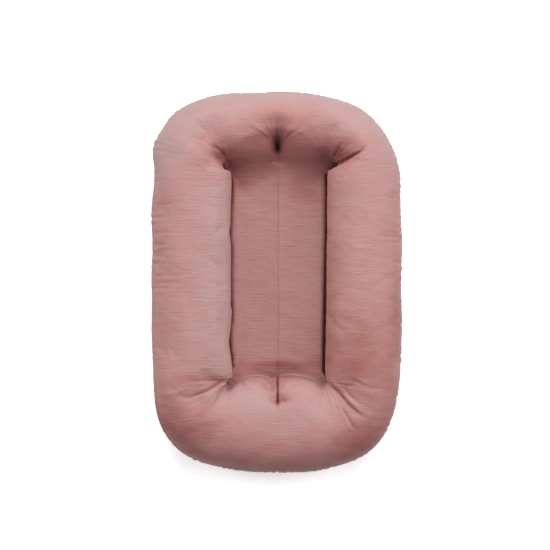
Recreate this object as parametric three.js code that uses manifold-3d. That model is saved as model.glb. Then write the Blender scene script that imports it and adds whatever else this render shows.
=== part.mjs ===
// Infant lounger: a stuffed ring round a narrow well, with a plain sling for the floor of the well,
// in a removable cover. Its top is one panel with a long dart down the well, and its underside is two
// panels with a zip between them. Millimetres, +Z up, head towards +Y, origin on the surface that the
// lounger lies on, at the middle of its outline.
import * as THREE from 'three';
import Module from 'manifold-3d';

const wasm = await Module();
wasm.setup();

// Lounger
const loungerLength = 737;
const loungerWidth = 489;
const crownHeight = 140;
const seamHeight = 66;
const slingTopHeight = 52;
const slingUnderHeight = 44;
const outlineWidthPower = 3;
const outlineLengthPower = 5;

// Well, measured where the sling is sewn to the ring
const wellWidth = 190;
const wellHeadReach = 223;
const wellFootReach = 200;
const wellFootSwell = 30;
const swellShoulderShare = 0.9;
const swellFlatShare = 0.85;
const wellCornerRadius = 16;
const endSpokeSpread = 6;

// Section of the ring. Shares are of the distance from the well to the outer seam, or of a height
const sideSection = { tuck: 7, lean: 116, leanReach: 64, crownShare: 0.5, browShare: 0.47 };
const headSection = { tuck: 5, lean: 62, leanReach: 34, crownShare: 0.56, browShare: 0.3 };
const footSection = { tuck: 5, lean: 98, leanReach: 58, crownShare: 0.5, browShare: 0.4 };
const outerShoulderShare = 0.6;
const outerDropShare = 0.58;
const underDropShare = 0.52;
const floorInnerShare = 0.36;
const floorOuterShare = 0.64;
const underRoundShare = 0.5;

// Hollows that the sewing pulls into the ring
const headTuft = { x: 0, y: 264, reachX: 17, reachY: 20, depth: 24 };
const footTuft = { x: 0, y: -236, reachX: 16, reachY: 24, depth: 7 };
const headPinch = { x: 106, y: 238, reachX: 22, reachY: 20, depth: 9 };
const footPinch = { x: 108, y: -214, reachX: 24, reachY: 22, depth: 8 };

// Cloth and clearances
const coverThickness = 1;
const caseThickness = 0.6;
const slingPanelThickness = 0.8;
const clothGap = 0.3;
const sewnGap = 0.3;

// Zip. Its teeth fill the well's length on the centre line, less a margin at either end
const zipHeadMargin = 25;
const zipFootMargin = 48;
const toothPitch = 5;
const toothThickness = 2.4;
const toothRootWidth = 1.5;
const toothTipWidth = 2.7;
const toothReach = 1.2;
const beadWidth = 1.5;
const toothClearance = 0.3;
const rightRowShare = 0.25;
const leftRowShare = 0.75;
const tapeWidth = 14;
const tapeThickness = 0.6;
const tapeTail = 9;
const openingHalfWidth = 8;
const openingTaper = 7;
const stopLength = 3;
const stopThickness = 3.6;

// Slider and pull
const sliderLength = 12;
const sliderMouthWidth = 12.4;
const sliderTailWidth = 9.4;
const sliderPlate = 1;
const sliderWall = 1.2;
const sliderChannelClearance = 0.35;
const sliderShoulderShare = 0.4;
const sliderWaistShare = 0.7;
const tapeSlot = 1.4;
const wedgeWidth = 3;
const wedgeLength = 5;
const wedgeFlankShare = 0.4;
const sliderBite = 3.2;
const bailWidth = 2;
const bailLength = 7;
const bailThickness = 1.2;
const bailOpening = 2.9;
const pullBarRadius = 0.6;
const pullWidth = 5.6;
const pullTipWidth = 7;
const pullThickness = 1.2;
const pullLength = 24;
const pullWindowReach = 4.6;
const pullCorner = 1.1;
const pullRunningGap = 0.3;

// How finely the soft pieces are divided
const endSpokeShares = [0, 0.2, 0.45, 0.72];
const cornerSteps = 6;
const sideSteps = 4;
const innerFaceSteps = 5;
const outerFaceSteps = 5;
const underInnerSteps = 2;
const underOuterSteps = 3;
const pullBarSides = 12;

const halfLength = loungerLength / 2;
const halfWidth = loungerWidth / 2;
const wellHalfWidth = wellWidth / 2;

// Outline of the lounger seen from above: |x / a| ^ 3 + |y / b| ^ 5 = 1
class OutlineStretch extends THREE.Curve {
  constructor(fromAngle, toAngle) {
    super();
    this.fromAngle = fromAngle;
    this.toAngle = toAngle;
  }

  getPoint(t) {
    const angle = THREE.MathUtils.lerp(this.fromAngle, this.toAngle, t);
    const across = Math.abs(Math.cos(angle)) ** (2 / outlineWidthPower);
    const along = Math.abs(Math.sin(angle)) ** (2 / outlineLengthPower);
    return new THREE.Vector2(halfWidth * across, Math.sign(Math.sin(angle)) * halfLength * along);
  }
}

const angleAcross = (x) => Math.acos((x / halfWidth) ** (outlineWidthPower / 2));
const angleAlong = (y) => Math.asin((Math.abs(y) / halfLength) ** (outlineLengthPower / 2));

// The well's edge on the right-hand side, from the middle of the head to the middle of the foot
function wellStretches() {
  const cornerX = wellHalfWidth - wellCornerRadius;
  const headY = wellHeadReach - wellCornerRadius;
  const footY = wellCornerRadius - wellFootReach;
  const swellY = wellFootSwell - wellFootReach;
  const headCorner = new THREE.Path();
  headCorner.absarc(cornerX, headY, wellCornerRadius, Math.PI / 2, 0, true);
  const footCorner = new THREE.Path();
  footCorner.absarc(cornerX, footY, wellCornerRadius, 0, -Math.PI / 2, true);
  return [
    new THREE.LineCurve(new THREE.Vector2(0, wellHeadReach), new THREE.Vector2(cornerX, wellHeadReach)),
    headCorner,
    new THREE.LineCurve(new THREE.Vector2(wellHalfWidth, headY), new THREE.Vector2(wellHalfWidth, footY)),
    footCorner,
    new THREE.CubicBezierCurve(
      new THREE.Vector2(cornerX, -wellFootReach),
      new THREE.Vector2(cornerX * swellShoulderShare, -wellFootReach),
      new THREE.Vector2(cornerX * swellFlatShare, swellY),
      new THREE.Vector2(0, swellY),
    ),
  ];
}

// The outline's matching stretches: head end, head corner, side, foot corner, foot end
function outlineStretches() {
  const endAngle = angleAcross(wellHalfWidth - wellCornerRadius + endSpokeSpread);
  const headAngle = angleAlong(wellHeadReach - wellCornerRadius);
  const footAngle = -angleAlong(wellFootReach - wellCornerRadius);
  const stops = [Math.PI / 2, endAngle, headAngle, footAngle, -endAngle, -Math.PI / 2];
  return stops.slice(1).map((angle, i) => new OutlineStretch(stops[i], angle));
}

// Spokes run in plan from the well's edge to the outer seam, from head to foot. Each has the weight
// of the head's and of the foot's section in its own
function makeSpokes() {
  const even = (count) => Array.from({ length: count }, (_, i) => i / count);
  const footShares = [0, ...endSpokeShares.slice(1).map((share) => 1 - share).reverse()];
  const shares = [endSpokeShares, even(cornerSteps), even(sideSteps), even(cornerSteps), footShares];
  const headWeights = [() => 1, (t) => 1 - THREE.MathUtils.smoothstep(t, 0, 1), () => 0, () => 0, () => 0];
  const footWeights = [() => 0, () => 0, () => 0, (t) => THREE.MathUtils.smoothstep(t, 0, 1), () => 1];
  const well = wellStretches();
  const outline = outlineStretches();
  const spokes = [];
  const addSpoke = (stretch, t) => {
    const inner = well[stretch].getPointAt(t);
    const outer = outline[stretch].getPointAt(t);
    const reach = inner.distanceTo(outer);
    const direction = outer.clone().sub(inner).divideScalar(reach);
    spokes.push({ inner, reach, direction, head: headWeights[stretch](t), foot: footWeights[stretch](t) });
  };
  shares.forEach((list, stretch) => list.forEach((t) => addSpoke(stretch, t)));
  addSpoke(shares.length - 1, 1);
  for (const end of [spokes[0], spokes[spokes.length - 1]]) {
    end.inner.x = 0;
    end.direction.set(0, Math.sign(end.direction.y));
  }
  return spokes;
}

const blendSection = (spoke, key) => sideSection[key] * (1 - spoke.head - spoke.foot)
  + headSection[key] * spoke.head + footSection[key] * spoke.foot;

const point = (s, z) => new THREE.Vector2(s, z);
const sampled = (curve, steps) => Array.from({ length: steps + 1 }, (_, i) => curve.getPointAt(i / steps));

// Top of the section at one spoke, from the crease over the crown to the outer seam, in (reach, height)
function topSection(spoke) {
  const tuck = blendSection(spoke, 'tuck');
  const lean = THREE.MathUtils.degToRad(blendSection(spoke, 'lean'));
  const leanReach = blendSection(spoke, 'leanReach');
  const crown = blendSection(spoke, 'crownShare') * spoke.reach;
  const brow = blendSection(spoke, 'browShare') * spoke.reach;
  const outer = spoke.reach - crown;
  const drop = crownHeight - seamHeight;
  const innerFace = new THREE.CubicBezierCurve(
    point(tuck, slingTopHeight),
    point(tuck + leanReach * Math.cos(lean), slingTopHeight + leanReach * Math.sin(lean)),
    point(crown - brow, crownHeight),
    point(crown, crownHeight),
  );
  const outerFace = new THREE.CubicBezierCurve(
    point(crown, crownHeight),
    point(crown + outerShoulderShare * outer, crownHeight),
    point(spoke.reach, seamHeight + outerDropShare * drop),
    point(spoke.reach, seamHeight + sewnGap / 2),
  );
  return [...sampled(innerFace, innerFaceSteps), ...sampled(outerFace, outerFaceSteps).slice(1)];
}

// Underside of the section, from the sling's edge over the flat that meets the floor to the outer seam
function underSection(spoke) {
  const floorInner = floorInnerShare * spoke.reach;
  const floorOuter = floorOuterShare * spoke.reach;
  const innerFace = new THREE.CubicBezierCurve(
    point(0, slingUnderHeight),
    point((1 - underRoundShare) * floorInner / 2, slingUnderHeight * underRoundShare),
    point((1 - underRoundShare) * floorInner, 0),
    point(floorInner, 0),
  );
  const outerFace = new THREE.CubicBezierCurve(
    point(floorOuter, 0),
    point(floorOuter + outerShoulderShare * (spoke.reach - floorOuter), 0),
    point(spoke.reach, seamHeight * (1 - underDropShare)),
    point(spoke.reach, seamHeight - sewnGap / 2),
  );
  return [...sampled(innerFace, underInnerSteps), ...sampled(outerFace, underOuterSteps)];
}

// Directions in which each section point moves when a layer lies deeper in the ring, so that the
// layer stays parallel. The sling joins the section at its first point
function layerDirections(section, side) {
  const normals = section.slice(1).map((end, i) => {
    const along = end.clone().sub(section[i]).normalize();
    return point(side * along.y, -side * along.x);
  });
  const slingNormal = point(0, -side);
  return section.map((_, i) => {
    const before = i === 0 ? slingNormal : normals[i - 1];
    const after = normals[Math.min(i, normals.length - 1)];
    return before.clone().add(after).divideScalar(1 + before.dot(after));
  });
}

const hollows = [headTuft, footTuft, headPinch, footPinch];

const depthOfHollows = (x, y) => hollows.reduce((sum, hollow) => {
  const across = (Math.abs(x) - hollow.x) / hollow.reachX;
  const along = (y - hollow.y) / hollow.reachY;
  return sum + hollow.depth * Math.exp(-(across ** 2) - along ** 2);
}, 0);

// Points of one layer of the right-hand half, spoke by spoke. side is 1 for the top, -1 for the
// underside; depth is measured in from the cover's outer face
function layerPoints(spokes, side, depth) {
  return spokes.map((spoke) => {
    const { inner, direction, reach } = spoke;
    const section = side > 0 ? topSection(spoke) : underSection(spoke);
    const inward = layerDirections(section, side);
    const placed = (at) =>
      new THREE.Vector3(inner.x + direction.x * at.x, inner.y + direction.y * at.x, at.y);
    return section.map((onCover, i) => {
      const last = i === section.length - 1;
      const at = last ? point(reach - depth, onCover.y) : onCover.clone().addScaledVector(inward[i], depth);
      if (side < 0 || i === 0) return placed(at);
      const { x, y } = placed(at);
      return placed(at.addScaledVector(inward[i].clone().normalize(), depthOfHollows(x, y)));
    });
  });
}

// Triangles of a grid of rows, in the order of its points
function gridTriangles(rows, columns) {
  const triangles = [];
  for (let r = 0; r + 1 < rows; r += 1) {
    for (let c = 0; c + 1 < columns; c += 1) {
      const a = r * columns + c;
      const b = a + columns;
      triangles.push([a, b, a + 1], [b, b + 1, a + 1]);
    }
  }
  return triangles;
}

function signedVolume(points, triangles) {
  const cross = new THREE.Vector3();
  return triangles.reduce((sum, [a, b, c]) =>
    sum + points[a].dot(cross.crossVectors(points[b], points[c])) / 6, 0);
}

// A closed body from points and triangles, turned the right way out
function closedBody(points, triangles) {
  const outward = signedVolume(points, triangles) > 0;
  const geometry = new THREE.BufferGeometry();
  geometry.setAttribute('position', new THREE.Float32BufferAttribute(points.flatMap((p) => p.toArray()), 3));
  geometry.setIndex(triangles.flatMap(([a, b, c]) => (outward ? [a, b, c] : [a, c, b])));
  return geometry;
}

// A panel of cloth: two faces of the same layout, closed by a strip along every free edge
function clothPanel(front, back, triangles) {
  const edges = new Set();
  for (const [a, b, c] of triangles) {
    for (const [p, q] of [[a, b], [b, c], [c, a]]) edges.add(`${p} ${q}`);
  }
  const count = front.length;
  const all = triangles.flatMap(([a, b, c]) => [[a, b, c], [count + a, count + c, count + b]]);
  for (const edge of edges) {
    const [p, q] = edge.split(' ').map(Number);
    if (!edges.has(`${q} ${p}`)) all.push([q, p, count + p], [q, count + p, count + q]);
  }
  return closedBody([...front, ...back], all);
}

// The left-hand piece is the right-hand one seen in a mirror
function mirrored(geometry) {
  const points = [];
  const position = geometry.getAttribute('position');
  for (let i = 0; i < position.count; i += 1) {
    points.push(new THREE.Vector3(-position.getX(i), position.getY(i), position.getZ(i)));
  }
  const index = geometry.getIndex();
  const triangles = [];
  for (let i = 0; i < index.count; i += 3) {
    triangles.push([index.getX(i), index.getX(i + 1), index.getX(i + 2)]);
  }
  return closedBody(points, triangles);
}

const spokes = makeSpokes();
const topColumns = innerFaceSteps + outerFaceSteps + 1;
const underColumns = underInnerSteps + underOuterSteps + 2;

// Keeps a half clear of the seam on the centre line
const clearOfSeam = (p) => new THREE.Vector3(Math.max(p.x, sewnGap / 2), p.y, p.z);

// Triangles of one half of the cover's top or underside: the ring's grid and the flat of the sling
// inside it. extras is the number of points that the sling has beside the ring's own
function halfTriangles(front, columns, extras) {
  const edgeOfRing = spokes.map((_, i) => i * columns);
  const edgeOfSling = Array.from({ length: extras }, (_, i) => spokes.length * columns + i);
  const loop = [...edgeOfRing, ...edgeOfSling];
  const contour = loop.map((i) => new THREE.Vector2(front[i].x, front[i].y));
  const ring = gridTriangles(spokes.length, columns);
  const fill = THREE.ShapeUtils.triangulateShape(contour, []).map((t) => t.map((i) => loop[i]));
  return [...ring, ...turnedToMatch(fill, ring)];
}

// The sling's triangles run the other way round along the edge that they share with the ring
function turnedToMatch(fill, ring) {
  const shared = new Set(ring.flatMap(([a, b, c]) => [`${a} ${b}`, `${b} ${c}`, `${c} ${a}`]));
  const clash = fill.some(([a, b, c]) => [`${a} ${b}`, `${b} ${c}`, `${c} ${a}`].some((e) => shared.has(e)));
  return clash ? fill.map(([a, b, c]) => [a, c, b]) : fill;
}

// The top of the cover is one panel all the way round. Its dart is a slit, sewn up down the middle of
// the well, that ends at the two tufts
function coverTop() {
  const lastRow = spokes.length - 1;
  const beyond = (row, tuft) => row.findIndex((p) => Math.abs(p.y) >= Math.abs(tuft.y));
  const rows = layerPoints(spokes, 1, 0);
  const dartEnds = new Map([[0, beyond(rows[0], headTuft)], [lastRow, beyond(rows[lastRow], footTuft)]]);
  const isOnFold = (i) => i % topColumns >= (dartEnds.get(Math.floor(i / topColumns)) ?? topColumns);
  const rightFace = (depth) => layerPoints(spokes, 1, depth).flat()
    .map((p, i) => (isOnFold(i) ? new THREE.Vector3(0, p.y, p.z) : clearOfSeam(p)));
  const front = rightFace(0);
  const apart = front.map((_, i) => i).filter((i) => !isOnFold(i));
  const leftPlace = new Map(apart.map((i, n) => [i, front.length + n]));
  const face = (depth) => {
    const right = rightFace(depth);
    return [...right, ...apart.map((i) => new THREE.Vector3(-right[i].x, right[i].y, right[i].z))];
  };
  const right = halfTriangles(front, topColumns, 0);
  const left = right.map(([a, b, c]) => [a, c, b].map((i) => leftPlace.get(i) ?? i));
  return clothPanel(face(0), face(coverThickness), [...right, ...left]);
}

// A half of the cover's underside. centreEdge gives the sling's points along the centre line, from
// foot to head, between the panel's own two
function coverBottomHalf(centreEdge) {
  const face = (depth) => {
    const ring = layerPoints(spokes, -1, depth).flat().map(clearOfSeam);
    const slingHeight = ring[0].z;
    return [...ring, ...centreEdge.map(([x, y]) => new THREE.Vector3(x, y, slingHeight))];
  };
  const front = face(0);
  return clothPanel(front, face(coverThickness), halfTriangles(front, underColumns, centreEdge.length));
}

// A half of the ring's inner case
function caseHalf(side, columns) {
  const start = coverThickness + clothGap;
  const face = (depth, edgeHeight) =>
    layerPoints(spokes, side, depth).flatMap((row) => {
      const placed = row.map(clearOfSeam);
      if (side < 0) placed[0].z = edgeHeight;
      return placed;
    });
  return clothPanel(
    face(start, caseUnderEdge),
    face(start + caseThickness, caseUnderEdge + caseThickness),
    gridTriangles(spokes.length, columns),
  );
}

// Levels inside the sling, from the top down
const slingUpperTop = slingTopHeight - coverThickness - clothGap;
const slingLowerTop = slingUpperTop - slingPanelThickness - clothGap;
const caseUnderEdge = slingLowerTop - slingPanelThickness;

// One layer of the sling, as far out as the edges of the case that it is sewn to
function slingPanel(side, top) {
  const rows = layerPoints(spokes, side, coverThickness + clothGap);
  const edge = rows.map(([start]) => new THREE.Vector2(start.x, start.y));
  const right = edge.map((p) => p.clone().multiplyScalar(1 - sewnGap / p.length()));
  const left = right.slice(1, -1).reverse().map((p) => new THREE.Vector2(-p.x, p.y));
  const shape = new THREE.Shape([...right, ...left]);
  const geometry = new THREE.ExtrudeGeometry(shape, { depth: slingPanelThickness, bevelEnabled: false });
  return geometry.translate(0, 0, top - slingPanelThickness);
}

// The filling: one body all the way round, inside the case. Its faces are divided as the cloth's are,
// so that nothing pokes through
function fibreFilling() {
  const depth = coverThickness + clothGap + caseThickness + clothGap;
  const top = layerPoints(spokes, 1, depth);
  const under = layerPoints(spokes, -1, depth);
  top.forEach((row) => { row[row.length - 1].z = seamHeight; });
  const points = [...top.flat(), ...under.flat()];
  const upperCount = spokes.length * topColumns;
  const shared = (i) => {
    const column = (i - upperCount) % underColumns;
    const row = Math.floor((i - upperCount) / underColumns);
    if (column === 0) return row * topColumns;
    return column === underColumns - 1 ? row * topColumns + topColumns - 1 : i;
  };
  const upper = gridTriangles(spokes.length, topColumns);
  const lower = gridTriangles(spokes.length, underColumns)
    .map(([a, b, c]) => [a, c, b].map((i) => shared(i + upperCount)));
  const right = [...upper, ...lower];
  const onMiddle = points.map((p) => Math.abs(p.x) < sewnGap / 2);
  const left = right.map(([a, b, c]) => [a, c, b].map((i) => (onMiddle[i] ? i : i + points.length)));
  const all = [...points, ...points.map((p) => new THREE.Vector3(-p.x, p.y, p.z))];
  return withoutLoosePoints(all, [...right, ...left]);
}

function withoutLoosePoints(points, triangles) {
  const used = [...new Set(triangles.flat())];
  const place = new Map(used.map((i, n) => [i, n]));
  return closedBody(used.map((i) => points[i]), triangles.map((t) => t.map((i) => place.get(i))));
}

// Manifold-3d joins and cuts; these two carry a geometry in and out
function toManifold(geometry) {
  const position = geometry.getAttribute('position');
  const index = geometry.getIndex();
  const merged = new Map();
  const vertices = [];
  const remap = [];
  for (let i = 0; i < position.count; i += 1) {
    const corner = [position.getX(i), position.getY(i), position.getZ(i)];
    const key = corner.map((value) => value.toFixed(4)).join(' ');
    if (!merged.has(key)) {
      merged.set(key, merged.size);
      vertices.push(...corner);
    }
    remap.push(merged.get(key));
  }
  const order = index ? Array.from(index.array) : remap.map((_, i) => i);
  return new wasm.Manifold(new wasm.Mesh({
    numProp: 3,
    vertProperties: new Float32Array(vertices),
    triVerts: new Uint32Array(order.map((i) => remap[i])),
  }));
}

function fromManifold(solid) {
  const mesh = solid.getMesh();
  const geometry = new THREE.BufferGeometry();
  geometry.setAttribute('position', new THREE.Float32BufferAttribute(mesh.vertProperties, 3));
  geometry.setIndex(Array.from(mesh.triVerts));
  return geometry;
}

const joined = (geometries) => fromManifold(geometries.map(toManifold).reduce((all, one) => all.add(one)));

// An outline in plan, raised from one height to another
function raised(outline, low, high) {
  const shape = new THREE.Shape(outline.map(([x, y]) => new THREE.Vector2(x, y)));
  return new THREE.ExtrudeGeometry(shape, { depth: high - low, bevelEnabled: false }).translate(0, 0, low);
}

const box = (lowX, highX, lowY, highY, lowZ, highZ) =>
  new THREE.BoxGeometry(highX - lowX, highY - lowY, highZ - lowZ)
    .translate((lowX + highX) / 2, (lowY + highY) / 2, (lowZ + highZ) / 2);

// Zip: levels and lengths. The slider closes towards the foot
const tapeLow = slingUnderHeight + coverThickness + clothGap;
const tapeHigh = tapeLow + tapeThickness;
const chainMiddle = (tapeLow + tapeHigh) / 2;
const chainLow = chainMiddle - toothThickness / 2;
const chainHigh = chainMiddle + toothThickness / 2;
const chainFoot = wellFootSwell - wellFootReach + zipFootMargin;
const toothPairs = Math.floor((wellHeadReach - zipHeadMargin - chainFoot) / toothPitch);
const chainHead = chainFoot + toothPairs * toothPitch;
const beadInner = toothReach + toothClearance;
const beadOuter = beadInner + beadWidth;
const tapeInner = beadOuter + sewnGap;
const sliderTail = chainFoot + sliderBite;
const sliderMouth = sliderTail - sliderLength;
const stopHigh = sliderMouth - pullRunningGap;

// A row of teeth with its bead, as one comb. Each tooth widens to its tip, so that the two rows hold
// each other. The right-hand row starts half a pitch on
function zipTeeth(hand) {
  const outline = [[beadOuter, chainHead], [beadOuter, chainFoot], [beadInner, chainFoot]];
  const firstTooth = chainFoot + toothPitch * (hand > 0 ? rightRowShare : leftRowShare);
  for (let i = 0; i < toothPairs; i += 1) {
    const y = firstTooth + i * toothPitch;
    outline.push(
      [beadInner, y - toothRootWidth / 2],
      [-toothReach, y - toothTipWidth / 2],
      [-toothReach, y + toothTipWidth / 2],
      [beadInner, y + toothRootWidth / 2],
    );
  }
  outline.push([beadInner, chainHead]);
  return raised(hand > 0 ? outline : outline.map(([x, y]) => [-x, y]), chainLow, chainHigh);
}

const zipTape = (hand) => {
  const edges = [hand * tapeInner, hand * (tapeInner + tapeWidth)].sort((a, b) => a - b);
  return box(edges[0], edges[1], stopHigh - stopLength - tapeTail, chainHead + tapeTail, tapeLow, tapeHigh);
};

const zipTopStop = (hand) => {
  const edges = [hand * toothClearance, hand * beadOuter].sort((a, b) => a - b);
  const half = stopThickness / 2;
  return box(edges[0], edges[1], stopHigh - stopLength, stopHigh, chainMiddle - half, chainMiddle + half);
};

const zipBottomStop = () => {
  const low = chainHead + toothClearance;
  const half = stopThickness / 2;
  return box(-beadOuter, beadOuter, low, low + stopLength, chainMiddle - half, chainMiddle + half);
};

// Slider: two plates on a wedge, with walls that leave a slot for each tape, and a bail underneath
const plateTopLow = chainHigh + sliderChannelClearance;
const plateUnderHigh = chainLow - sliderChannelClearance;
const plateUnderLow = plateUnderHigh - sliderPlate;

function sliderOutline(inset) {
  const mouth = sliderMouthWidth / 2 - inset;
  const tail = sliderTailWidth / 2 - inset;
  const shoulder = sliderMouth + sliderLength * sliderShoulderShare;
  const waist = sliderMouth + sliderLength * sliderWaistShare;
  return { mouth, tail, shoulder, waist };
}

function zipSliderBody() {
  const { mouth, tail, shoulder, waist } = sliderOutline(0);
  const wedgeHalf = wedgeWidth / 2;
  const wedgeFlank = sliderMouth + wedgeLength * wedgeFlankShare;
  const plan = [
    [-mouth, sliderMouth + sliderPlate], [-wedgeHalf, sliderMouth], [wedgeHalf, sliderMouth],
    [mouth, sliderMouth + sliderPlate], [mouth, shoulder], [tail, waist], [tail, sliderTail],
    [-tail, sliderTail], [-tail, waist], [-mouth, shoulder],
  ];
  const inner = sliderOutline(sliderWall);
  const wall = [
    [mouth, sliderMouth + sliderPlate], [mouth, shoulder], [tail, waist], [tail, sliderTail],
    [inner.tail, sliderTail], [inner.tail, waist], [inner.mouth, shoulder],
    [inner.mouth, sliderMouth + sliderPlate],
  ];
  const slotHalf = tapeSlot / 2;
  const walls = [1, -1].flatMap((hand) => {
    const side = wall.map(([x, y]) => [hand * x, y]);
    return [
      raised(side, chainMiddle + slotHalf, plateTopLow + sliderPlate / 2),
      raised(side, plateUnderHigh - sliderPlate / 2, chainMiddle - slotHalf),
    ];
  });
  const wedge = [
    [-wedgeHalf, sliderMouth], [wedgeHalf, sliderMouth], [wedgeHalf, wedgeFlank],
    [0, sliderMouth + wedgeLength], [-wedgeHalf, wedgeFlank],
  ];
  return joined([
    raised(plan, plateTopLow, plateTopLow + sliderPlate),
    raised(plan, plateUnderLow, plateUnderHigh),
    ...walls,
    raised(wedge, plateUnderHigh - sliderPlate / 2, plateTopLow + sliderPlate / 2),
    bail(),
  ]);
}

// The bail is an arch along the slider that holds the pull
const bailMiddle = (sliderMouth + sliderTail) / 2;
const bailInside = plateUnderLow - bailOpening;

function bail() {
  const high = plateUnderLow + sliderPlate / 2;
  const low = bailInside - bailThickness;
  const reach = bailLength / 2;
  const round = bailThickness;
  const arch = new THREE.Shape();
  arch.moveTo(-reach, high);
  arch.lineTo(-reach, low + round);
  arch.lineTo(round - reach, low);
  arch.lineTo(reach - round, low);
  arch.lineTo(reach, low + round);
  arch.lineTo(reach, high);
  arch.lineTo(reach - bailThickness, high);
  arch.lineTo(reach - bailThickness, bailInside);
  arch.lineTo(bailThickness - reach, bailInside);
  arch.lineTo(bailThickness - reach, high);
  const geometry = new THREE.ExtrudeGeometry(arch, { depth: bailWidth, bevelEnabled: false });
  return geometry.translate(0, 0, -bailWidth / 2)
    .rotateX(Math.PI / 2)
    .rotateZ(Math.PI / 2)
    .translate(0, bailMiddle, 0);
}

// Pull: a flat tab that hangs from a round bar through the bail
const pullAxisHeight = bailInside + pullBarRadius + pullRunningGap;

function zipPullTab() {
  const half = pullWidth / 2;
  const tipHalf = pullTipWidth / 2;
  const windowHalf = bailWidth / 2 + pullRunningGap;
  const tip = pullAxisHeight - pullLength;
  const shape = new THREE.Shape([
    [-half, pullAxisHeight], [-half, pullAxisHeight - pullWindowReach - pullCorner],
    [-tipHalf, tip + 2 * pullCorner], [-tipHalf + pullCorner, tip + pullCorner / 2], [-pullCorner, tip],
    [pullCorner, tip], [tipHalf - pullCorner, tip + pullCorner / 2], [tipHalf, tip + 2 * pullCorner],
    [half, pullAxisHeight - pullWindowReach - pullCorner], [half, pullAxisHeight],
    [windowHalf, pullAxisHeight], [windowHalf, pullAxisHeight - pullWindowReach],
    [-windowHalf, pullAxisHeight - pullWindowReach], [-windowHalf, pullAxisHeight],
  ].map(([x, z]) => new THREE.Vector2(x, z)));
  const plate = new THREE.ExtrudeGeometry(shape, { depth: pullThickness, bevelEnabled: false })
    .translate(0, 0, -pullThickness / 2)
    .rotateX(Math.PI / 2);
  const bar = new THREE.CylinderGeometry(pullBarRadius, pullBarRadius, pullWidth, pullBarSides)
    .rotateZ(Math.PI / 2)
    .translate(0, 0, pullAxisHeight);
  return joined([plate, bar]).translate(0, bailMiddle, 0);
}

// Materials: the dusty rose of the cover, the undyed cloth and fibre inside, and the zip
const roseCloth = { color: 0xbd948e, roughness: 0.92, metalness: 0 };
const plainCloth = { color: 0xe9e2d6, roughness: 0.9, metalness: 0 };
const fibre = { color: 0xf4f2ee, roughness: 1, metalness: 0 };
const tapeWeave = { color: 0xb4857f, roughness: 0.85, metalness: 0 };
const mouldedTeeth = { color: 0xa97a74, roughness: 0.45, metalness: 0 };
const enamelledZinc = { color: 0xa37670, roughness: 0.35, metalness: 0.4 };

const lounger = new THREE.Group();

function addPiece(name, geometry, finish) {
  const mesh = new THREE.Mesh(geometry, new THREE.MeshStandardMaterial(finish));
  mesh.name = name;
  lounger.add(mesh);
}

// Where the zip opens, each bottom panel's centre edge stands back from the teeth
function openingEdge() {
  const foot = stopHigh - stopLength;
  return [
    [sewnGap / 2, foot - openingTaper],
    [openingHalfWidth, foot],
    [openingHalfWidth, chainHead],
    [sewnGap / 2, chainHead + openingTaper],
  ];
}

addPiece('cover_top', coverTop(), roseCloth);
const bottomHalf = coverBottomHalf(openingEdge());
addPiece('cover_bottom_right', bottomHalf, roseCloth);
addPiece('cover_bottom_left', mirrored(bottomHalf), roseCloth);

const caseTop = caseHalf(1, topColumns);
addPiece('case_top_right', caseTop, plainCloth);
addPiece('case_top_left', mirrored(caseTop), plainCloth);
const caseBottom = caseHalf(-1, underColumns);
addPiece('case_bottom_right', caseBottom, plainCloth);
addPiece('case_bottom_left', mirrored(caseBottom), plainCloth);
addPiece('sling_panel_upper', slingPanel(1, slingUpperTop), plainCloth);
addPiece('sling_panel_lower', slingPanel(-1, slingLowerTop), plainCloth);
addPiece('fibre_filling', fibreFilling(), fibre);

for (const [hand, name] of [[1, 'right'], [-1, 'left']]) {
  addPiece(`zip_tape_${name}`, zipTape(hand), tapeWeave);
  addPiece(`zip_teeth_${name}`, zipTeeth(hand), mouldedTeeth);
  addPiece(`zip_top_stop_${name}`, zipTopStop(hand), enamelledZinc);
}
addPiece('zip_bottom_stop', zipBottomStop(), enamelledZinc);
addPiece('zip_slider_body', zipSliderBody(), enamelledZinc);
addPiece('zip_pull_tab', zipPullTab(), enamelledZinc);

export default lounger;
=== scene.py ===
import math

import bpy
import numpy as np
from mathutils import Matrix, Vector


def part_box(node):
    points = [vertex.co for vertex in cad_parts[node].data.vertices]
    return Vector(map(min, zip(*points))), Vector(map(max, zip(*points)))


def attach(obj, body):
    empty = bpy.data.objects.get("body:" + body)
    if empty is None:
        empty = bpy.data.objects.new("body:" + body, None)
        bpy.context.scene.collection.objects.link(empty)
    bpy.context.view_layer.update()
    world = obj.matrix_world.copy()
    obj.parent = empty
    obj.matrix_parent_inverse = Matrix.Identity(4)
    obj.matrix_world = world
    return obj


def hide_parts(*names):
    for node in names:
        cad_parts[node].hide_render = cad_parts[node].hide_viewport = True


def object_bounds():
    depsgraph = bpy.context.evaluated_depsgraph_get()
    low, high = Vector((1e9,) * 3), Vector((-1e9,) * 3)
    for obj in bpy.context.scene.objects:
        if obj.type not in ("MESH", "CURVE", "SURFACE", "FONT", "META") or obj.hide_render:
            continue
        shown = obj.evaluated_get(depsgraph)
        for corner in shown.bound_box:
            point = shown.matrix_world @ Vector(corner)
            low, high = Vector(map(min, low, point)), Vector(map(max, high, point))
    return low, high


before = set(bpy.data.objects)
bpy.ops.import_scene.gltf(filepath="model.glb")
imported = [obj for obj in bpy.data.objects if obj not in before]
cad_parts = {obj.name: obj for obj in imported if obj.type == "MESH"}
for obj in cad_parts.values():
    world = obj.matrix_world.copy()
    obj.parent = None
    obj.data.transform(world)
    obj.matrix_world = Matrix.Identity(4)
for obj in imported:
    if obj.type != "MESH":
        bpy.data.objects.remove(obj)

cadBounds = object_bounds()
mm = 0.001

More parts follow.
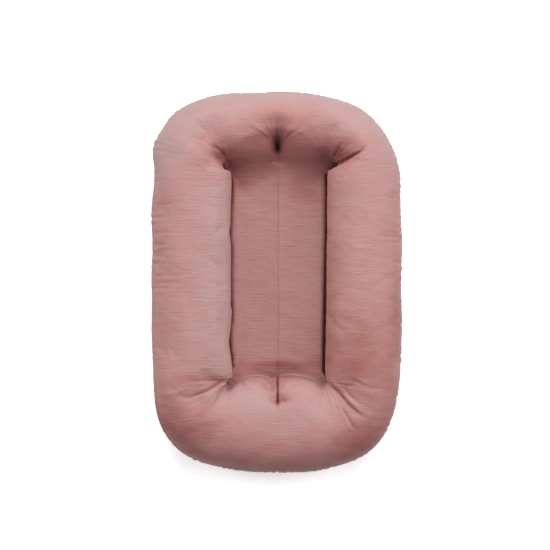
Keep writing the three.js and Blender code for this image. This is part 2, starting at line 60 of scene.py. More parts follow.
# The lounger as it was cut and sewn. Its overall sizes come from the frame
lounger = {
    "halfWidth": cadBounds[1].x,
    "halfLength": cadBounds[1].y,
    "crownHeight": cadBounds[1].z,
    "seamHeight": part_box("cover_bottom_right")[1].z,
    "slingTop": 52 * mm,
    "slingUnder": 44 * mm,
    "widthPower": 3,
    "lengthPower": 5,
    "clothThickness": 1 * mm,
    "puffAllowance": 3 * mm,
    "headAllowance": 6 * mm,
}
well = {
    "halfWidth": 95 * mm,
    "headReach": 223 * mm,
    "footReach": 195 * mm,
    "footSwell": 16 * mm,
    "shoulderShare": 0.95,
    "flatShare": 0.95,
    "corner": 11 * mm,
    "endSpread": 6 * mm,
    "slotDrop": 5 * mm,
    "headRise": 13 * mm,
    "footDrop": 6.6 * mm,
    "footDropFade": 0.9,
    "footDropOver": (0.45, 0.8),  # shares of the half width
}
# Sections of the ring. Lean is in degrees; crown and brow are shares of the reach to the outer seam.
# leftExtra is added to the side's section on the left, which hangs further over the well
sections = {
    "side": {"tuck": 8 * mm, "lean": 114, "leanReach": 64 * mm, "crown": 0.5, "brow": 0.53},
    "head": {"tuck": 5 * mm, "lean": 58, "leanReach": 34 * mm, "crown": 0.61, "brow": 0.34},
    "foot": {"tuck": 5 * mm, "lean": 98, "leanReach": 58 * mm, "crown": 0.5, "brow": 0.4},
    "leftExtra": {"tuck": 9 * mm, "lean": 0, "leanReach": 0, "crown": 0, "brow": 0.34},
}
roundings = {
    "outerShoulder": 0.6,
    "outerDrop": 0.58,
    "underDrop": 0.52,
    "floorInner": 0.36,
    "floorOuter": 0.64,
    "underRound": 0.5,
}
# Steps of the cover's grid before it is refined: along half the well's edge, and over the section
steps = {
    "end": 20,
    "corner": 36,
    "side": 64,
    "inner": 20,
    "outer": 20,
    "under": 12,
    "floor": 6,
    "tuck": 8,
    "endCrowding": 1.5,
    "seamCrowding": 1.3,
    "curveSamples": 48,
}


def smooth(t, low=0.0, high=1.0):
    t = np.clip((t - low) / (high - low), 0, 1)
    return t * t * (3 - 2 * t)


def bell(distance, width):
    return np.exp(-((distance / width) ** 2))


def bezier(a, b, c, d, t):
    a, b, c, d = [np.asarray(p, float)[..., None, :] for p in (a, b, c, d)]
    t = np.asarray(t)[:, None]
    return a * (1 - t) ** 3 + 3 * b * t * (1 - t) ** 2 + 3 * c * t**2 * (1 - t) + d * t**3


def lengthsAlong(points):
    return np.concatenate([[0], np.cumsum(np.linalg.norm(np.diff(points, axis=0), axis=1))])


def alongLine(points, shares):
    lengths = lengthsAlong(points)
    at = np.asarray(shares) * lengths[-1]
    return np.stack([np.interp(at, lengths, column) for column in np.asarray(points).T], axis=1)


# The well's edge on the right-hand side, in five stretches from the middle of the head to the foot's
def wellEdge():
    cornerX = well["halfWidth"] - well["corner"]
    headY = well["headReach"] - well["corner"]
    footY = well["corner"] - well["footReach"]
    swellY = well["footSwell"] - well["footReach"]
    t = np.linspace(0, 1, steps["curveSamples"])
    turn = t * math.pi / 2
    across, along = well["corner"] * np.sin(turn), well["corner"] * np.cos(turn)
    return [
        np.array([(0, well["headReach"]), (cornerX, well["headReach"])]),
        np.stack([cornerX + across, headY + along], axis=1),
        np.array([(well["halfWidth"], headY), (well["halfWidth"], footY)]),
        np.stack([cornerX + along, footY - across], axis=1),
        bezier(
            (cornerX, -well["footReach"]),
            (cornerX * well["shoulderShare"], -well["footReach"]),
            (cornerX * well["flatShare"], swellY),
            (0, swellY),
            t,
        ),
    ]


# The outline's matching stretches: |x / a| ** 3 + |y / b| ** 5 = 1
def outlineEdge():
    a = lounger["halfWidth"] - lounger["puffAllowance"]
    b = lounger["halfLength"]
    p, q = lounger["widthPower"], lounger["lengthPower"]
    endX = well["halfWidth"] - well["corner"] + well["endSpread"]
    endAngle = math.acos((endX / a) ** (p / 2))
    headAngle = math.asin(((well["headReach"] - well["corner"]) / b) ** (q / 2))
    footAngle = -math.asin(((well["footReach"] - well["corner"]) / b) ** (q / 2))
    stops = [math.pi / 2, endAngle, headAngle, footAngle, -endAngle, -math.pi / 2]
    stretches = []
    for start, end in zip(stops, stops[1:]):
        angle = np.linspace(start, end, 4 * steps["curveSamples"])
        x = a * np.abs(np.cos(angle)) ** (2 / p)
        y = np.sign(np.sin(angle)) * b * np.abs(np.sin(angle)) ** (2 / q)
        stretches.append(np.stack([x, y], axis=1))
    return stretches


# Stations all the way round, clockwise from the middle of the head: the well's edge, the way to the
# outer seam, and how much of the head's and the foot's section each one has
def makeStations():
    crowded = np.linspace(0, 1, steps["end"] + 1) ** steps["endCrowding"]
    cornerShares = np.arange(steps["corner"]) / steps["corner"]
    sideShares = np.arange(steps["side"]) / steps["side"]
    shares = [crowded[:-1], cornerShares, sideShares, cornerShares, 1 - crowded[::-1]]
    headWeights = [np.ones_like, lambda t: 1 - smooth(t), np.zeros_like, np.zeros_like, np.zeros_like]
    footWeights = [np.zeros_like, np.zeros_like, np.zeros_like, smooth, np.ones_like]
    inner = np.concatenate([alongLine(line, t) for line, t in zip(wellEdge(), shares)])
    outer = np.concatenate([alongLine(line, t) for line, t in zip(outlineEdge(), shares)])
    inner[[0, -1], 0] = outer[[0, -1], 0] = 0
    head = np.concatenate([weight(t) for weight, t in zip(headWeights, shares)])
    foot = np.concatenate([weight(t) for weight, t in zip(footWeights, shares)])

    def roundTheLoop(values, mirror=1):
        left = values[-2:0:-1] * (np.array([mirror, 1]) if values.ndim == 2 else 1)
        return np.concatenate([values, left])

    inner, outer = roundTheLoop(inner, -1), roundTheLoop(outer, -1)
    reach = np.linalg.norm(outer - inner, axis=1)
    return {
        "inner": inner,
        "outer": outer,
        "reach": reach,
        "direction": (outer - inner) / reach[:, None],
        "head": roundTheLoop(head),
        "foot": roundTheLoop(foot),
    }


# The sling dips before the foot, most in the middle
def footDropAt(x):
    fade = smooth(np.abs(x) / well["halfWidth"], *well["footDropOver"])
    return well["footDrop"] * (1 - well["footDropFade"] * fade)


# Section at every station as (reach, height), from the sling's upper edge over the crown, the outer
# seam and the floor to its lower edge, with the distance along it. seamLift raises the seam
def sectionGrid(stations, seamLift):
    reach, head, foot = stations["reach"], stations["head"], stations["foot"]
    left = (1 - head - foot) * (stations["outer"][:, 0] < 0)

    def mixed(key):
        side, atHead, atFoot, extra = [sections[name][key] for name in ("side", "head", "foot", "leftExtra")]
        return side * (1 - head - foot) + atHead * head + atFoot * foot + extra * left

    def point(s, z):
        return np.stack([s + 0 * reach, z + 0 * reach], axis=-1)

    top, seam = lounger["crownHeight"], lounger["seamHeight"]
    start = lounger["slingTop"] - well["slotDrop"] * (1 - head - foot)
    start = start + well["headRise"] * head - footDropAt(stations["inner"][:, 0]) * foot
    tuck, lean, leanReach = mixed("tuck"), np.radians(mixed("lean")), mixed("leanReach")
    crown, brow = mixed("crown") * reach, mixed("brow") * reach
    floorInner, floorOuter = roundings["floorInner"] * reach, roundings["floorOuter"] * reach
    shoulder, under = roundings["outerShoulder"], roundings["underRound"]
    t = np.linspace(0, 1, steps["curveSamples"])
    curves = [
        bezier(
            point(tuck, start),
            point(tuck + leanReach * np.cos(lean), start + leanReach * np.sin(lean)),
            point(crown - brow, top),
            point(crown, top),
            t,
        ),
        bezier(
            point(crown, top),
            point(crown + shoulder * (reach - crown), top),
            point(reach, seam + roundings["outerDrop"] * (top - seam)),
            point(reach, seam),
            t,
        ),
        bezier(
            point(reach, seam),
            point(reach, seam * (1 - roundings["underDrop"])),
            point(floorOuter + shoulder * (reach - floorOuter), 0),
            point(floorOuter, 0),
            t,
        ),
        point(floorOuter, 0)[:, None] * (1 - t[:, None]) + point(floorInner, 0)[:, None] * t[:, None],
        bezier(
            point(floorInner, 0),
            point((1 - under) * floorInner, 0),
            point((1 - under) * floorInner / 2, lounger["slingUnder"] * under),
            point(0, lounger["slingUnder"]),
            t,
        ),
    ]
    path = np.concatenate([curves[0]] + [curve[:, 1:] for curve in curves[1:]], axis=1)
    lengths = np.cumsum(np.linalg.norm(np.diff(path, axis=1), axis=2), axis=1)
    lengths = np.concatenate([np.zeros((len(reach), 1)), lengths], axis=1)
    ends = [lengths[:, k * (len(t) - 1)] for k in range(len(curves) + 1)]
    ends[2] = ends[2] - seamLift
    counts = [steps[name] for name in ("inner", "outer", "under", "floor", "tuck")]
    even = [np.arange(count) / count for count in counts]
    even[1] = 1 - (1 - even[1]) ** steps["seamCrowding"]
    even[2] = even[2] ** steps["seamCrowding"]
    at = []
    for begun, ended, shares in zip(ends, ends[1:], even):
        at.append(begun[:, None] + (ended - begun)[:, None] * shares)
    at = np.concatenate(at + [ends[-1][:, None]], axis=1)
    placed = np.stack(
        [[np.interp(a, l, p[:, k]) for a, l, p in zip(at, lengths, path)] for k in (0, 1)], axis=-1
    )
    return placed, at + tuck[:, None]


seamColumn = steps["inner"] + steps["outer"]
coarseColumns = seamColumn + steps["under"] + steps["floor"] + steps["tuck"] + 1


def onPlan(stations, distance):
    return stations["inner"][:, None] + stations["direction"][:, None] * distance[..., None]


# Outward normals of a grid that closes on itself round the lounger
def gridNormals(points):
    alongLoop = np.roll(points, -1, axis=0) - np.roll(points, 1, axis=0)
    over = np.gradient(points, axis=1)
    normals = np.cross(alongLoop, over)
    return normals / np.maximum(np.linalg.norm(normals, axis=2, keepdims=True), 1e-12)


# Puts a point half way between every two, on the smooth curve through its four neighbours
def refined(points):
    near, far = 9 / 16, 1 / 16
    between = near * (points + np.roll(points, -1, axis=0)) - far * (
        np.roll(points, 1, axis=0) + np.roll(points, -2, axis=0)
    )
    rounded = np.empty((2 * points.shape[0], *points.shape[1:]))
    rounded[0::2], rounded[1::2] = points, between
    padded = np.concatenate(
        [2 * rounded[:, :1] - rounded[:, 1:2], rounded, 2 * rounded[:, -1:] - rounded[:, -2:-1]], axis=1
    )
    between = near * (padded[:, 1:-2] + padded[:, 2:-1]) - far * (padded[:, :-3] + padded[:, 3:])
    full = np.empty((rounded.shape[0], 2 * rounded.shape[1] - 1, *rounded.shape[2:]))
    full[:, 0::2], full[:, 1::2] = rounded, between
    return full


waves = {"fewest": 0.65, "most": 1.4, "slant": 0.6}


# A smooth random field. The first coordinate runs once round the loop from 0 to 1 and has about the
# given number of waves; the others have a wavelength
def randomWaves(seed, loopShare, wavesRound, others, terms=28):
    rng = np.random.default_rng(seed)
    total = np.zeros(np.broadcast(loopShare, *[c for c, _ in others]).shape)
    for _ in range(terms):
        turns = round(wavesRound * rng.uniform(waves["fewest"], waves["most"]))
        phase = 2 * math.pi * (turns * loopShare + rng.uniform())
        for coordinate, wavelength in others:
            phase = phase + 2 * math.pi * coordinate / wavelength * rng.normal(0, waves["slant"])
        total += np.cos(phase)
    return total * math.sqrt(2 / terms)


print("lounger: stations and sections")
stations = makeStations()

# Where the photograph was taken from: straight above. Its pixels are turned to places on the lounger
photo = {
    "centre": (275, 275),
    "pixel": 1.94 * mm,
    "over": (-2.9 * mm, 12.6 * mm),
    "scaleHeight": 66 * mm,
    "distance": 2.371,
    "lens": 80,
    "sensor": 36,
    "clipEnd": 50,
}


def fromPhoto(pixels, height=0.0):
    closeness = photo["distance"] / (photo["distance"] + photo["scaleHeight"] - height)
    pixels = np.asarray(pixels, float)
    x = photo["over"][0] + (pixels[..., 0] - photo["centre"][0]) * photo["pixel"] / closeness
    y = photo["over"][1] + (photo["centre"][1] - pixels[..., 1]) * photo["pixel"] / closeness
    return np.stack([x, y], axis=-1)


# How the stuffing and the wear have shaped it: broad hollows, in metres from the middle
hollows = {
    "headTuft": {"at": (4 * mm, 276 * mm), "reach": (58 * mm, 38 * mm), "depth": 18 * mm},
    "footTuft": {"at": (2 * mm, -222 * mm), "reach": (26 * mm, 20 * mm), "depth": 7 * mm},
    "headPinchRight": {"at": (116 * mm, 240 * mm), "reach": (32 * mm, 22 * mm), "depth": 11 * mm},
    "headPinchLeft": {"at": (-104 * mm, 246 * mm), "reach": (20 * mm, 22 * mm), "depth": 6 * mm},
    "footPinchRight": {"at": (112 * mm, -218 * mm), "reach": (24 * mm, 22 * mm), "depth": 8 * mm},
    "footPinchLeft": {"at": (-108 * mm, -210 * mm), "reach": (24 * mm, 20 * mm), "depth": 8 * mm},
}
leaning = {
    "headShift": 14 * mm,
    "headStart": 190 * mm,
    "headPower": 1.6,
    "footShift": 5 * mm,
    "footStart": -120 * mm,
    "leftIn": 1.5 * mm,
    "shoulderOut": 11 * mm,
    "shoulderAt": 268 * mm,
    "shoulderReach": 42 * mm,
    "from": 40 * mm,
    "to": 130 * mm,
    "creaseLeft": -1 * mm,
    "creaseRight": 8.5 * mm,
    "creaseRightAtHead": 9.5 * mm,
    "creaseReach": 45 * mm,
    "creaseFrom": 65 * mm,
    "creaseTo": 91 * mm,
    # end of the lounger, middle and reach across it, and how far it is shifted
    "endShifts": [
        (1, -140 * mm, 70 * mm, 4 * mm),
        (1, 150 * mm, 60 * mm, 2 * mm),
        (-1, -130 * mm, 60 * mm, 5 * mm),
        (-1, 125 * mm, 50 * mm, 2.5 * mm),
    ],
    "seamLiftLeft": 27 * mm,
}
# Small dents, where the filling is thin
dents = {
    "footDent": {"at": (-10 * mm, -192 * mm), "reach": (14 * mm, 9 * mm), "depth": 10 * mm},
    "footPit": {"at": (2 * mm, -216 * mm), "reach": (12 * mm, 8 * mm), "depth": 9 * mm},
    "footTuft": {"at": (3 * mm, -210 * mm), "reach": (26 * mm, 15 * mm), "depth": 7 * mm},
    "headPitRight": {"at": (97 * mm, 222 * mm), "reach": (12 * mm, 11 * mm), "depth": 4 * mm},
    "headPitLeft": {"at": (-88 * mm, 222 * mm), "reach": (12 * mm, 11 * mm), "depth": 4 * mm},
}


def hollowDepth(points, places):
    depth = np.zeros(points.shape[:2])
    for hollow in places.values():
        across = (points[..., 0] - hollow["at"][0]) / hollow["reach"][0]
        along = (points[..., 1] - hollow["at"][1]) / hollow["reach"][1]
        depth += hollow["depth"] * np.exp(-(across**2) - along**2)
    seamAt = round((points.shape[1] - 1) * seamColumn / (coarseColumns - 1))
    depth[:, seamAt:] = 0
    return depth


# The crown between the well and the outer seam, in shares of that way
crownSmoothing = {"rounds": 16, "share": 0.5, "from": 0.1, "full": 0.5, "fadesFrom": 0.8}


# Evens out the crowns round the loop where sides, corners and ends meet
def evened(points):
    shares = np.arange(points.shape[1]) / seamColumn
    weight = crownSmoothing["share"] * smooth(shares, crownSmoothing["from"], crownSmoothing["full"])
    weight = weight * (1 - smooth(shares, crownSmoothing["fadesFrom"], 1))
    for _ in range(crownSmoothing["rounds"]):
        between = (np.roll(points, 1, axis=0) + np.roll(points, -1, axis=0)) / 2
        points = points + weight[None, :, None] * (between - points)
    return points


# The real one lies a little askew: its head end leans to the left and the creases wander
def leant(points, arc):
    x, y = points[..., 0].copy(), points[..., 1]
    outwards = smooth(np.abs(x), leaning["from"], leaning["to"])
    headSpan = lounger["halfLength"] - leaning["headStart"]
    headDrift = np.clip((y - leaning["headStart"]) / headSpan, 0, None) ** leaning["headPower"]
    footDrift = smooth(-y, -leaning["footStart"], lounger["halfLength"])
    x -= outwards * (leaning["headShift"] * headDrift + leaning["footShift"] * footDrift)
    x += leaning["leftIn"] * smooth(-x, leaning["to"], lounger["halfWidth"])
    atShoulder = bell(y - leaning["shoulderAt"], leaning["shoulderReach"])
    x -= leaning["shoulderOut"] * smooth(-x, leaning["to"], lounger["halfWidth"]) * atShoulder
    y = y - lounger["headAllowance"] * smooth(y, well["headReach"], lounger["halfLength"])
    for end, middle, reach, shift in leaning["endShifts"]:
        nearEnd = smooth(end * y, well["headReach"], lounger["halfLength"])
        y = y + shift * bell(points[..., 0] - middle, reach) * nearEnd
    nearCrease = bell(arc, leaning["creaseReach"])
    nearCrease = nearCrease * smooth(np.abs(x), leaning["creaseFrom"], leaning["creaseTo"])
    towardsHead = smooth(y, -well["footReach"], well["headReach"])
    rightwards = leaning["creaseRight"] + leaning["creaseRightAtHead"] * towardsHead
    x += nearCrease * np.where(x < 0, leaning["creaseLeft"], rightwards)
    return np.stack([x, y, points[..., 2]], axis=-1)


# Air pressure inside the cover rounds it as its filling does. It runs on the coarse grid
puffing = {
    "quality": 6,
    "pressure": 4.0,
    "frames": 20,
    "surplus": 0.004,
    "cap": 7 * mm,
    "mass": 0.3,
    "tension": 15,
    "shear": 5,
    "bending": 0.3,
    "pinnedColumns": 2,
    "seamHold": 0.9,
    "middleRows": 5,
}


def ringFaces(rows, columns):
    i = np.arange(rows)[:, None]
    j = np.arange(columns - 1)[None]
    after = (i + 1) % rows
    corners = [i * columns + j, after * columns + j, after * columns + j + 1, i * columns + j + 1]
    return np.stack([c + 0 * j for c in corners], axis=-1).reshape(-1, 4)


def makeMesh(name, vertices, faces):
    mesh = bpy.data.meshes.new(name)
    mesh.from_pydata(np.asarray(vertices, float).reshape(-1, 3).tolist(), [], [list(f) for f in faces])
    mesh.update()
    piece = bpy.data.objects.new(name, mesh)
    bpy.context.collection.objects.link(piece)
    return piece


def puffed(points):
    rows, columns = points.shape[:2]
    faces = ringFaces(rows, columns).tolist()
    for i in range(rows):
        after = (i + 1) % rows
        faces.append([(i + 1) * columns - 1, (after + 1) * columns - 1, after * columns, i * columns])
    pad = makeMesh("puffing", points, faces)
    hold = np.zeros((rows, columns))
    hold[:, : puffing["pinnedColumns"]] = hold[:, -puffing["pinnedColumns"] :] = 1
    floorStart = seamColumn + steps["under"]
    hold[:, floorStart : floorStart + steps["floor"] + 1] = 1
    hold[:, seamColumn] = puffing["seamHold"]
    group = pad.vertex_groups.new(name="held")
    for level in np.unique(hold[hold > 0]):
        group.add(np.flatnonzero(hold.ravel() == level).tolist(), float(level), "REPLACE")
    cloth = pad.modifiers.new("cloth", "CLOTH")
    cloth.settings.quality = puffing["quality"]
    cloth.settings.mass = puffing["mass"]
    cloth.settings.tension_stiffness = cloth.settings.compression_stiffness = puffing["tension"]
    cloth.settings.shear_stiffness = puffing["shear"]
    cloth.settings.bending_stiffness = puffing["bending"]
    cloth.settings.use_pressure = True
    cloth.settings.uniform_pressure_force = puffing["pressure"]
    cloth.settings.shrink_min = -puffing["surplus"]
    cloth.settings.vertex_group_mass = "held"
    cloth.settings.effector_weights.gravity = 0
    cloth.collision_settings.use_collision = False
    cloth.point_cache.frame_start = 1
    cloth.point_cache.frame_end = puffing["frames"]
    scene = bpy.context.scene
    for frameNumber in range(1, puffing["frames"] + 1):
        scene.frame_set(frameNumber)
    evaluated = pad.evaluated_get(bpy.context.evaluated_depsgraph_get())
    moved = np.empty(rows * columns * 3)
    evaluated.data.vertices.foreach_get("co", moved)
    moved = moved.reshape(points.shape) - points
    scene.frame_set(1)
    bpy.data.objects.remove(pad)
    # the narrow rows either side of the middle follow their neighbours
    span = puffing["middleRows"]
    for middle in (0, rows // 2):
        for k in range(1 - span, span):
            share = (k + span) / (2 * span)
            moved[(middle + k) % rows] = (1 - share) * moved[middle - span] + share * moved[middle + span]
    lengths = np.linalg.norm(moved, axis=2, keepdims=True)
    print("cloth moved, mm: mean", round(lengths.mean() / mm, 2), "most", round(lengths.max() / mm, 2))
    capped = moved * np.minimum(1, puffing["cap"] / np.maximum(lengths, 1e-9))
    return points + capped


# Folds in the cover, each a line of photograph pixels with its depth and half width in mm; a lip
# stands beside it on the side given, 1 to the right of the line's way and -1 to the left
folds = {
    "headLeftValley": {
        "line": [(231, 172), (228.5, 163), (225.7, 157.6), (220.6, 150.4), (213.5, 147.3), (206, 146)],
        "depth": 5,
        "width": 2.8,
        "lip": 1,
        "side": -1,
    },
    "headRightValley": {
        "line": [(328, 169), (335.3, 162.7), (349.6, 157.6), (363.9, 149.4), (371, 143)],
        "depth": 9.5,
        "width": 3,
        "lip": 1.7,
        "side": 1,
    },
    "headRightSecond": {
        "line": [(333, 160), (336, 153), (340, 146), (344, 139)],
        "depth": 2.1,
        "width": 2.5,
        "lip": 0.4,
        "side": 1,
    },
    "footLeftFlat": {
        "line": [(231, 382), (216, 380.7), (205, 380.2), (185.6, 380.7)],
        "depth": 1.8,
        "width": 2.5,
        "lip": 0.4,
        "side": -1,
    },
    "footLeftLong": {
        "line": [(227, 380.5), (222.4, 381.8), (209.4, 389.4), (196.4, 394.8), (182, 399)],
        "depth": 5.9,
        "width": 2.8,
        "lip": 1.1,
        "side": -1,
    },
    "footLeftSteep": {
        "line": [(227.5, 383), (220.3, 393.8), (215.9, 402.4), (213, 410)],
        "depth": 3.1,
        "width": 2.5,
        "lip": 0.7,
        "side": 1,
    },
    "footLeftShort": {
        "line": [(230, 383), (228, 389), (226.8, 395)],
        "depth": 2.1,
        "width": 1.9,
        "lip": 0.4,
        "side": 1,
    },
    "footLeftInner": {
        "line": [(231, 380.5), (244.1, 385.1), (253.9, 389.4), (260, 393)],
        "depth": 3.1,
        "width": 2.5,
        "lip": 0.7,
        "side": -1,
    },
    "footDent": {
        "line": [(262, 378), (270, 384.5), (275, 391), (277, 396)],
        "depth": 4.5,
        "width": 2.2,
        "lip": 0.5,
        "side": 1,
    },
    "footDentRight": {
        "line": [(288, 379), (281, 384), (278, 390), (277, 396)],
        "depth": 3,
        "width": 2.2,
        "lip": 0.4,
        "side": -1,
    },
    "footRightLong": {
        "line": [(326, 381), (339.4, 392.7), (350.3, 405.7), (362.2, 415.4), (368, 421)],
        "depth": 6.4,
        "width": 2.8,
        "lip": 1.1,
        "side": -1,
    },
    "footRightOuter": {
        "line": [(342, 408), (351.3, 423), (358.9, 432.8)],
        "depth": 3.4,
        "width": 2.8,
        "lip": 0.7,
        "side": 1,
    },
    "footRightFlat": {
        "line": [(348, 377), (363.3, 384), (378, 387)],
        "depth": 1.9,
        "width": 3.1,
        "lip": 0.4,
        "side": -1,
    },
    "footRightBend": {
        "line": [(344, 388), (354.6, 400.3), (364, 402)],
        "depth": 1.9,
        "width": 2.8,
        "lip": 0.4,
        "side": -1,
    },
    "footPinchLeft": {
        "line": [(280, 402), (275, 401.5), (270, 400)],
        "depth": 7,
        "width": 2.3,
        "lip": 0.3,
        "side": 1,
    },
    "footPinchRight": {
        "line": [(274, 401.5), (282, 401), (292, 397)],
        "depth": 7,
        "width": 2.3,
        "lip": 0.3,
        "side": 1,
    },
}
foldShape = {
    "height": 118 * mm,
    "samples": 25,
    "margin": 5,  # this one, lipAt and lipWidth are in widths of the fold
    "fadeIn": 0.12,
    "fadeOut": 0.45,
    "sharpness": 1.3,
    "lipAt": 2,
    "lipWidth": 1.3,
}

# Short tucks at the outer seam: the pixel column of the edge, then the row and length of each
seamTucks = {
    "left": (
        153,
        [(205, 24), (218, 14), (233, 22), (245, 20), (251, 28), (256, 14), (276, 30), (283, 34), (288, 26)],
    ),
    "right": (401, [(194, 12), (198, 14), (228, 11), (233, 18), (237, 26), (242, 14), (262, 10)]),
}
for name, (edgeAt, tucks) in seamTucks.items():
    inwards = 1 if name == "left" else -1
    for k, (row, length) in enumerate(tucks):
        middle, end = edgeAt + inwards * length / 2, edgeAt + inwards * length
        folds[f"{name}Tuck{k}"] = {
            "line": [(edgeAt, row), (middle, row - 0.5), (end, row)],
            "depth": 2.2,
            "width": 2.2,
            "lip": 0.6,
            "side": inwards,
        }

# Fine wrinkles fan out over the bolster from where it is drawn in, each fan from one pixel; reach
# and depth in mm, and the fan's two sets of waves round that place
fans = {
    "headLeft": {"at": (230, 164), "reach": 46, "depth": 0.9, "waves": (17, 29), "turn": 0.4},
    "headRight": {"at": (328, 163), "reach": 46, "depth": 0.9, "waves": (19, 27), "turn": 1.7},
    "footLeft": {"at": (231, 381), "reach": 58, "depth": 0.8, "waves": (21, 34), "turn": 2.2},
    "footRight": {"at": (325, 381), "reach": 62, "depth": 1.0, "waves": (20, 31), "turn": 0.9},
    "footMiddle": {"at": (277, 396), "reach": 34, "depth": 0.8, "waves": (14, 23), "turn": 1.1},
}
fanShape = {"from": 0.1, "full": 0.45, "secondShare": 0.8}


def fanRelief(points):
    relief = np.zeros(points.shape[:2])
    for fan in fans.values():
        away = points[..., :2] - fromPhoto(fan["at"], foldShape["height"])
        radius = np.linalg.norm(away, axis=-1)
        angle = np.arctan2(away[..., 1], away[..., 0])
        first, second = fan["waves"]
        wave = np.cos(first * angle + fan["turn"])
        wave = wave + fanShape["secondShare"] * np.cos(second * angle + 2 * fan["turn"])
        reach = fan["reach"] * mm
        ring = smooth(radius / reach, fanShape["from"], fanShape["full"]) * bell(radius, reach)
        relief += fan["depth"] * mm * wave * ring / 2
    relief[:, 2 * seamColumn :] = 0
    return relief


def foldRelief(points):
    x, y = points[..., 0], points[..., 1]
    relief = np.zeros(x.shape)
    for fold in folds.values():
        line = fromPhoto(fold["line"], foldShape["height"])
        line = alongLine(line, np.linspace(0, 1, foldShape["samples"]))
        width = fold["width"] * mm
        margin = foldShape["margin"] * width
        low, high = line.min(axis=0) - margin, line.max(axis=0) + margin
        near = (x > low[0]) & (x < high[0]) & (y > low[1]) & (y < high[1])
        near[:, seamColumn * 2 :] = False
        start, along = line[:-1], np.diff(line, axis=0)
        lengths = np.linalg.norm(along, axis=1)
        away = np.stack([x[near], y[near]], axis=1)[:, None] - start
        share = np.clip((away * along).sum(axis=2) / lengths**2, 0, 1)
        gap = away - share[..., None] * along
        distance = np.linalg.norm(gap, axis=2)
        nearest = distance.argmin(axis=1)
        pick = np.arange(len(nearest))
        run = (nearest + share[pick, nearest]) / len(lengths)
        across, ahead = gap[pick, nearest], along[nearest]
        side = np.sign(across[:, 0] * ahead[:, 1] - across[:, 1] * ahead[:, 0])
        signed = distance[pick, nearest] * side * fold["side"]
        fade = smooth(run, 0, foldShape["fadeIn"]) * smooth(1 - run, 0, foldShape["fadeOut"])
        valley = -fold["depth"] * np.exp(-((np.abs(signed) / width) ** foldShape["sharpness"]))
        lip = fold["lip"] * bell(signed - foldShape["lipAt"] * width, foldShape["lipWidth"] * width)
        relief[near] += fade * (valley + lip) * mm
    return relief


# The deep tuft at the head, with the wrinkles that it draws in round it
tuft = {
    "at": fromPhoto((277.5, 143.2), 110 * mm),
    "core": (5 * mm, 11 * mm),
    "coreDepth": 32 * mm,
    "funnel": (17 * mm, 30 * mm, 38 * mm),
    "funnelDepth": 22 * mm,
    "tailAt": 14 * mm,
    "tailReach": 9 * mm,
    "tailDepth": 2.5,
    "wrinkleReach": 52 * mm,
    "wrinkleDepth": 1.1 * mm,
    "wrinkleFrom": (3 * mm, 12 * mm),
    "wrinklesAbove": (-4 * mm, 14 * mm),
    # number round the tuft, phase and share of each set of wrinkles
    "waves": ((11, 0.6, 1), (18, 2.1, 0.8), (27, 4.0, 0.7)),
}
# The outer seam, the uneven filling and the dart down the well
texture = {
    "seamGroove": 1.4 * mm,
    "seamGrooveWidth": 2.2 * mm,
    "seamRidge": 1.3 * mm,
    "seamRidgeWidth": 3.5 * mm,
    "pucker": 0.9 * mm,
    "puckerReach": 20 * mm,
    "puckerSpacing": 13 * mm,
    "puckerLength": 90 * mm,
    "puckerWaves": 40,
    "puckerSeed": 7,
    "lump": 0.7 * mm,
    "lumpsRound": 13,
    "lumpLength": 90 * mm,
    "lumpSeed": 5,
    "unevenRound": 30,
    "unevenLength": 400 * mm,
    "unevenSeed": 8,
    "underRidgeShare": 0.6,
    "flatBelow": 14 * mm,
    "fadeAtWell": (4 * mm, 30 * mm),
    "fadeUnderneath": (2 * mm, 20 * mm),
    "fansFrom": (8 * mm, 40 * mm),
    "dartGroove": 1.8 * mm,
    "dartWidth": 1.6 * mm,
    "dartLip": 0.7 * mm,
    "dartLipAt": 4.8 * mm,
    "dartLipWidth": 2.4 * mm,
    "dartAt": 2 * mm,
    "dartStart": (-4 * mm, 4 * mm),
    "dartEnd": (-246 * mm, -238 * mm),
}


def tuftDrop(x, y):
    dx, dy = x - tuft["at"][0], y - tuft["at"][1]
    radius = np.hypot(dx, dy)
    core = tuft["coreDepth"] * bell(np.hypot(dx / tuft["core"][0], dy / tuft["core"][1]), 1)
    sideways, down, up = tuft["funnel"]
    funnel = tuft["funnelDepth"] * bell(np.hypot(dx / sideways, dy / np.where(dy > 0, up, down)), 1)
    angle = np.arctan2(dy, dx)
    wave = sum(share * np.cos(count * angle + phase) for count, phase, share in tuft["waves"])
    ring = smooth(radius, *tuft["wrinkleFrom"]) * bell(radius, tuft["wrinkleReach"])
    return core + funnel + tuft["wrinkleDepth"] * wave * ring * smooth(dy, *tuft["wrinklesAbove"])


def dartRelief(x, y):
    run = smooth(tuft["at"][1] - y, *texture["dartStart"]) * smooth(y, *texture["dartEnd"])
    off = x - texture["dartAt"]
    tail = 1 + tuft["tailDepth"] * bell(tuft["at"][1] - y - tuft["tailAt"], tuft["tailReach"])
    groove = -texture["dartGroove"] * tail * bell(off, texture["dartWidth"])
    lips = texture["dartLip"] * bell(np.abs(off) - texture["dartLipAt"], texture["dartLipWidth"])
    return run * (groove + lips)


